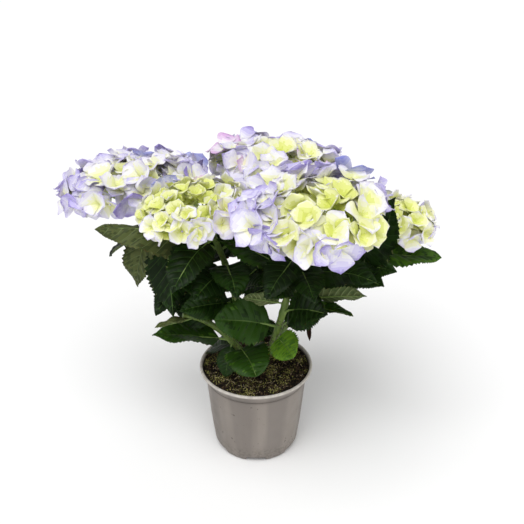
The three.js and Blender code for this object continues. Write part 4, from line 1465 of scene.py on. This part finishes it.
def scatter(rng, count, inner, outer=SOIL_EDGE - 1.5):
    """Places on the compost, spread evenly over its ring."""
    radius = np.sqrt(rng.uniform(inner ** 2, outer ** 2, count))
    angle = rng.uniform(0, 2 * pi, count)
    x = radius * np.cos(angle)
    y = radius * np.sin(angle)
    return np.stack([x, y, soil_height(x, y)], 1)


def strew(name, looks, rng, count, inner, size, uneven, lift, rough):
    """A piece of grains spread over the compost, each in one of its looks."""
    pile = Pile()
    places = scatter(rng, count, inner) + (0, 0, lift)
    sizes = rng.uniform(*size, (count, 1)) * rng.uniform(*uneven, (count, 3))
    dealt = rng.integers(0, 2, count) if len(looks) == 2 else 0
    add_grains(pile, places, sizes, rng, dealt, rough)
    piece(name, pile, looks, "compost", "soil")


def dress_litter():
    """Crumbs of peat, flecks of moss, grains of perlite and bits of straw on the compost."""
    rng = np.random.default_rng(SEEDS["litter"])
    crumb = litter_look("peat_crumb", (0.030, 0.019, 0.010), (0.010, 0.006, 0.004))
    brown = litter_look("peat_crumb_brown", (0.085, 0.055, 0.030), (0.040, 0.024, 0.013))
    strew("compost_crumbs", [crumb, brown], rng, CRUMBS, 11, (0.4, 1.5), (0.7, 1.3), 0.2, 0.3)

    moss = Pile()
    patches = scatter(rng, MOSS_PATCHES, 16)
    centres = patches[rng.integers(0, MOSS_PATCHES, MOSS_GRAINS)]
    places = centres + rng.normal(size=(MOSS_GRAINS, 3)) * (MOSS_SPREAD, MOSS_SPREAD, 0)
    reach = np.hypot(places[:, 0], places[:, 1])
    places = places[(reach < SOIL_EDGE - 1) & (reach > MOSS_INNER)]
    places[:, 2] = soil_height(places[:, 0], places[:, 1]) + MOSS_LIFT
    sizes = rng.uniform(*MOSS_SIZE, (len(places), 1)) * MOSS_STRETCH
    add_grains(moss, places, sizes, rng, rng.integers(0, 2, len(places)), MOSS_ROUGH)
    green = litter_look("moss", (0.190, 0.190, 0.045), (0.080, 0.082, 0.020))
    yellow = litter_look("moss_yellow", (0.540, 0.500, 0.170), (0.290, 0.265, 0.080))
    piece("moss_flecks", moss, [green, yellow], "compost", "soil")

    pearl = litter_look("perlite", (0.46, 0.44, 0.34), (0.28, 0.26, 0.19))
    strew("perlite", [pearl], rng, PERLITE_GRAINS, 18, (0.4, 0.9), (0.8, 1.2), 0.5, 0.2)

    straw = Pile()
    for place in scatter(rng, STRAWS, 18, SOIL_EDGE - 6):
        way = rng.uniform(0, 2 * pi)
        span = rng.uniform(*STRAW_LENGTH)
        steps = np.linspace(-0.5, 0.5, STRAW_STEPS)[:, None]
        path = place + steps * span * np.array((cos(way), sin(way), rng.uniform(*STRAW_TILT)))
        path[:, 2] = soil_height(path[:, 0], path[:, 1]) + STRAW_LIFT
        add_tube(straw, path, rng.uniform(*STRAW_RADIUS), STRAW_SIDES, 0)
    dry = litter_look("straw", (0.56, 0.47, 0.30), (0.32, 0.25, 0.15))
    piece("straw_bits", straw, [dry], "compost", "soil")


# ---- stage

FLOOR_REACH = 12.0
FILL_AT = (1.0, -1.2, 0.7)
FILL_AIM = (0.0, 0.0, 0.22)
FILL_SIZE = 1.2
FILL_POWER = 3.0
KEY_TURN = (26, 0, -24)
KEY_POWER = 2.1
KEY_SOFT = 50
SKY_POWER = 0.5
CAMERA_AT = (0.0069, -0.8483, 0.7206)
CAMERA_TURN = (60.5, 0, 0)
CAMERA_ANGLE = 32.46


def dress_lights():
    """A wide soft sun, a soft lamp from the front right and an even white sky."""
    sun = bpy.data.lights.new("key", "SUN")
    sun.energy = KEY_POWER
    sun.angle = radians(KEY_SOFT)
    add_object("key", sun).rotation_euler = [radians(turn) for turn in KEY_TURN]

    lamp = bpy.data.lights.new("fill", "AREA")
    lamp.shape = "DISK"
    lamp.size = FILL_SIZE
    lamp.energy = FILL_POWER
    fill = add_object("fill", lamp)
    fill.location = FILL_AT
    x, y, z = np.subtract(FILL_AT, FILL_AIM)
    fill.rotation_euler = (atan2(hypot(x, y), z), 0, atan2(x, -y))

    world = bpy.data.worlds.new("studio")
    world.use_nodes = True
    sky = world.node_tree.nodes["Background"]
    sky.inputs["Color"].default_value = (1.0, 1.0, 1.0, 1.0)
    sky.inputs["Strength"].default_value = SKY_POWER
    bpy.context.scene.world = world


def dress_stage():
    """The pale floor, the lights and the camera."""
    corners = [(x * FLOOR_REACH, y * FLOOR_REACH, 0) for x, y in ((-1, -1), (1, -1), (1, 1), (-1, 1))]
    floor_mesh = bpy.data.meshes.new("floor")
    floor_mesh.from_pydata(corners, [], [(0, 1, 2, 3)])
    material, _, _ = principled("pale_floor", Base_Color=(0.95, 0.95, 0.95, 1.0), Roughness=0.9)
    floor_mesh.materials.append(material)
    floor = add_object("floor", floor_mesh)
    dress_lights()

    lens = bpy.data.cameras.new("camera")
    lens.angle = radians(CAMERA_ANGLE)
    camera = add_object("camera", lens)
    camera.location = CAMERA_AT
    camera.rotation_euler = [radians(turn) for turn in CAMERA_TURN]
    scene = bpy.context.scene
    scene.camera = camera
    scene.view_settings.view_transform = "Standard"


dress_stage()
dress_pot()
dress_soil()
dress_litter()
dress_wood()
leaves = place_leaves()
dress_foliage(leaves)
dress_heads(leaves)
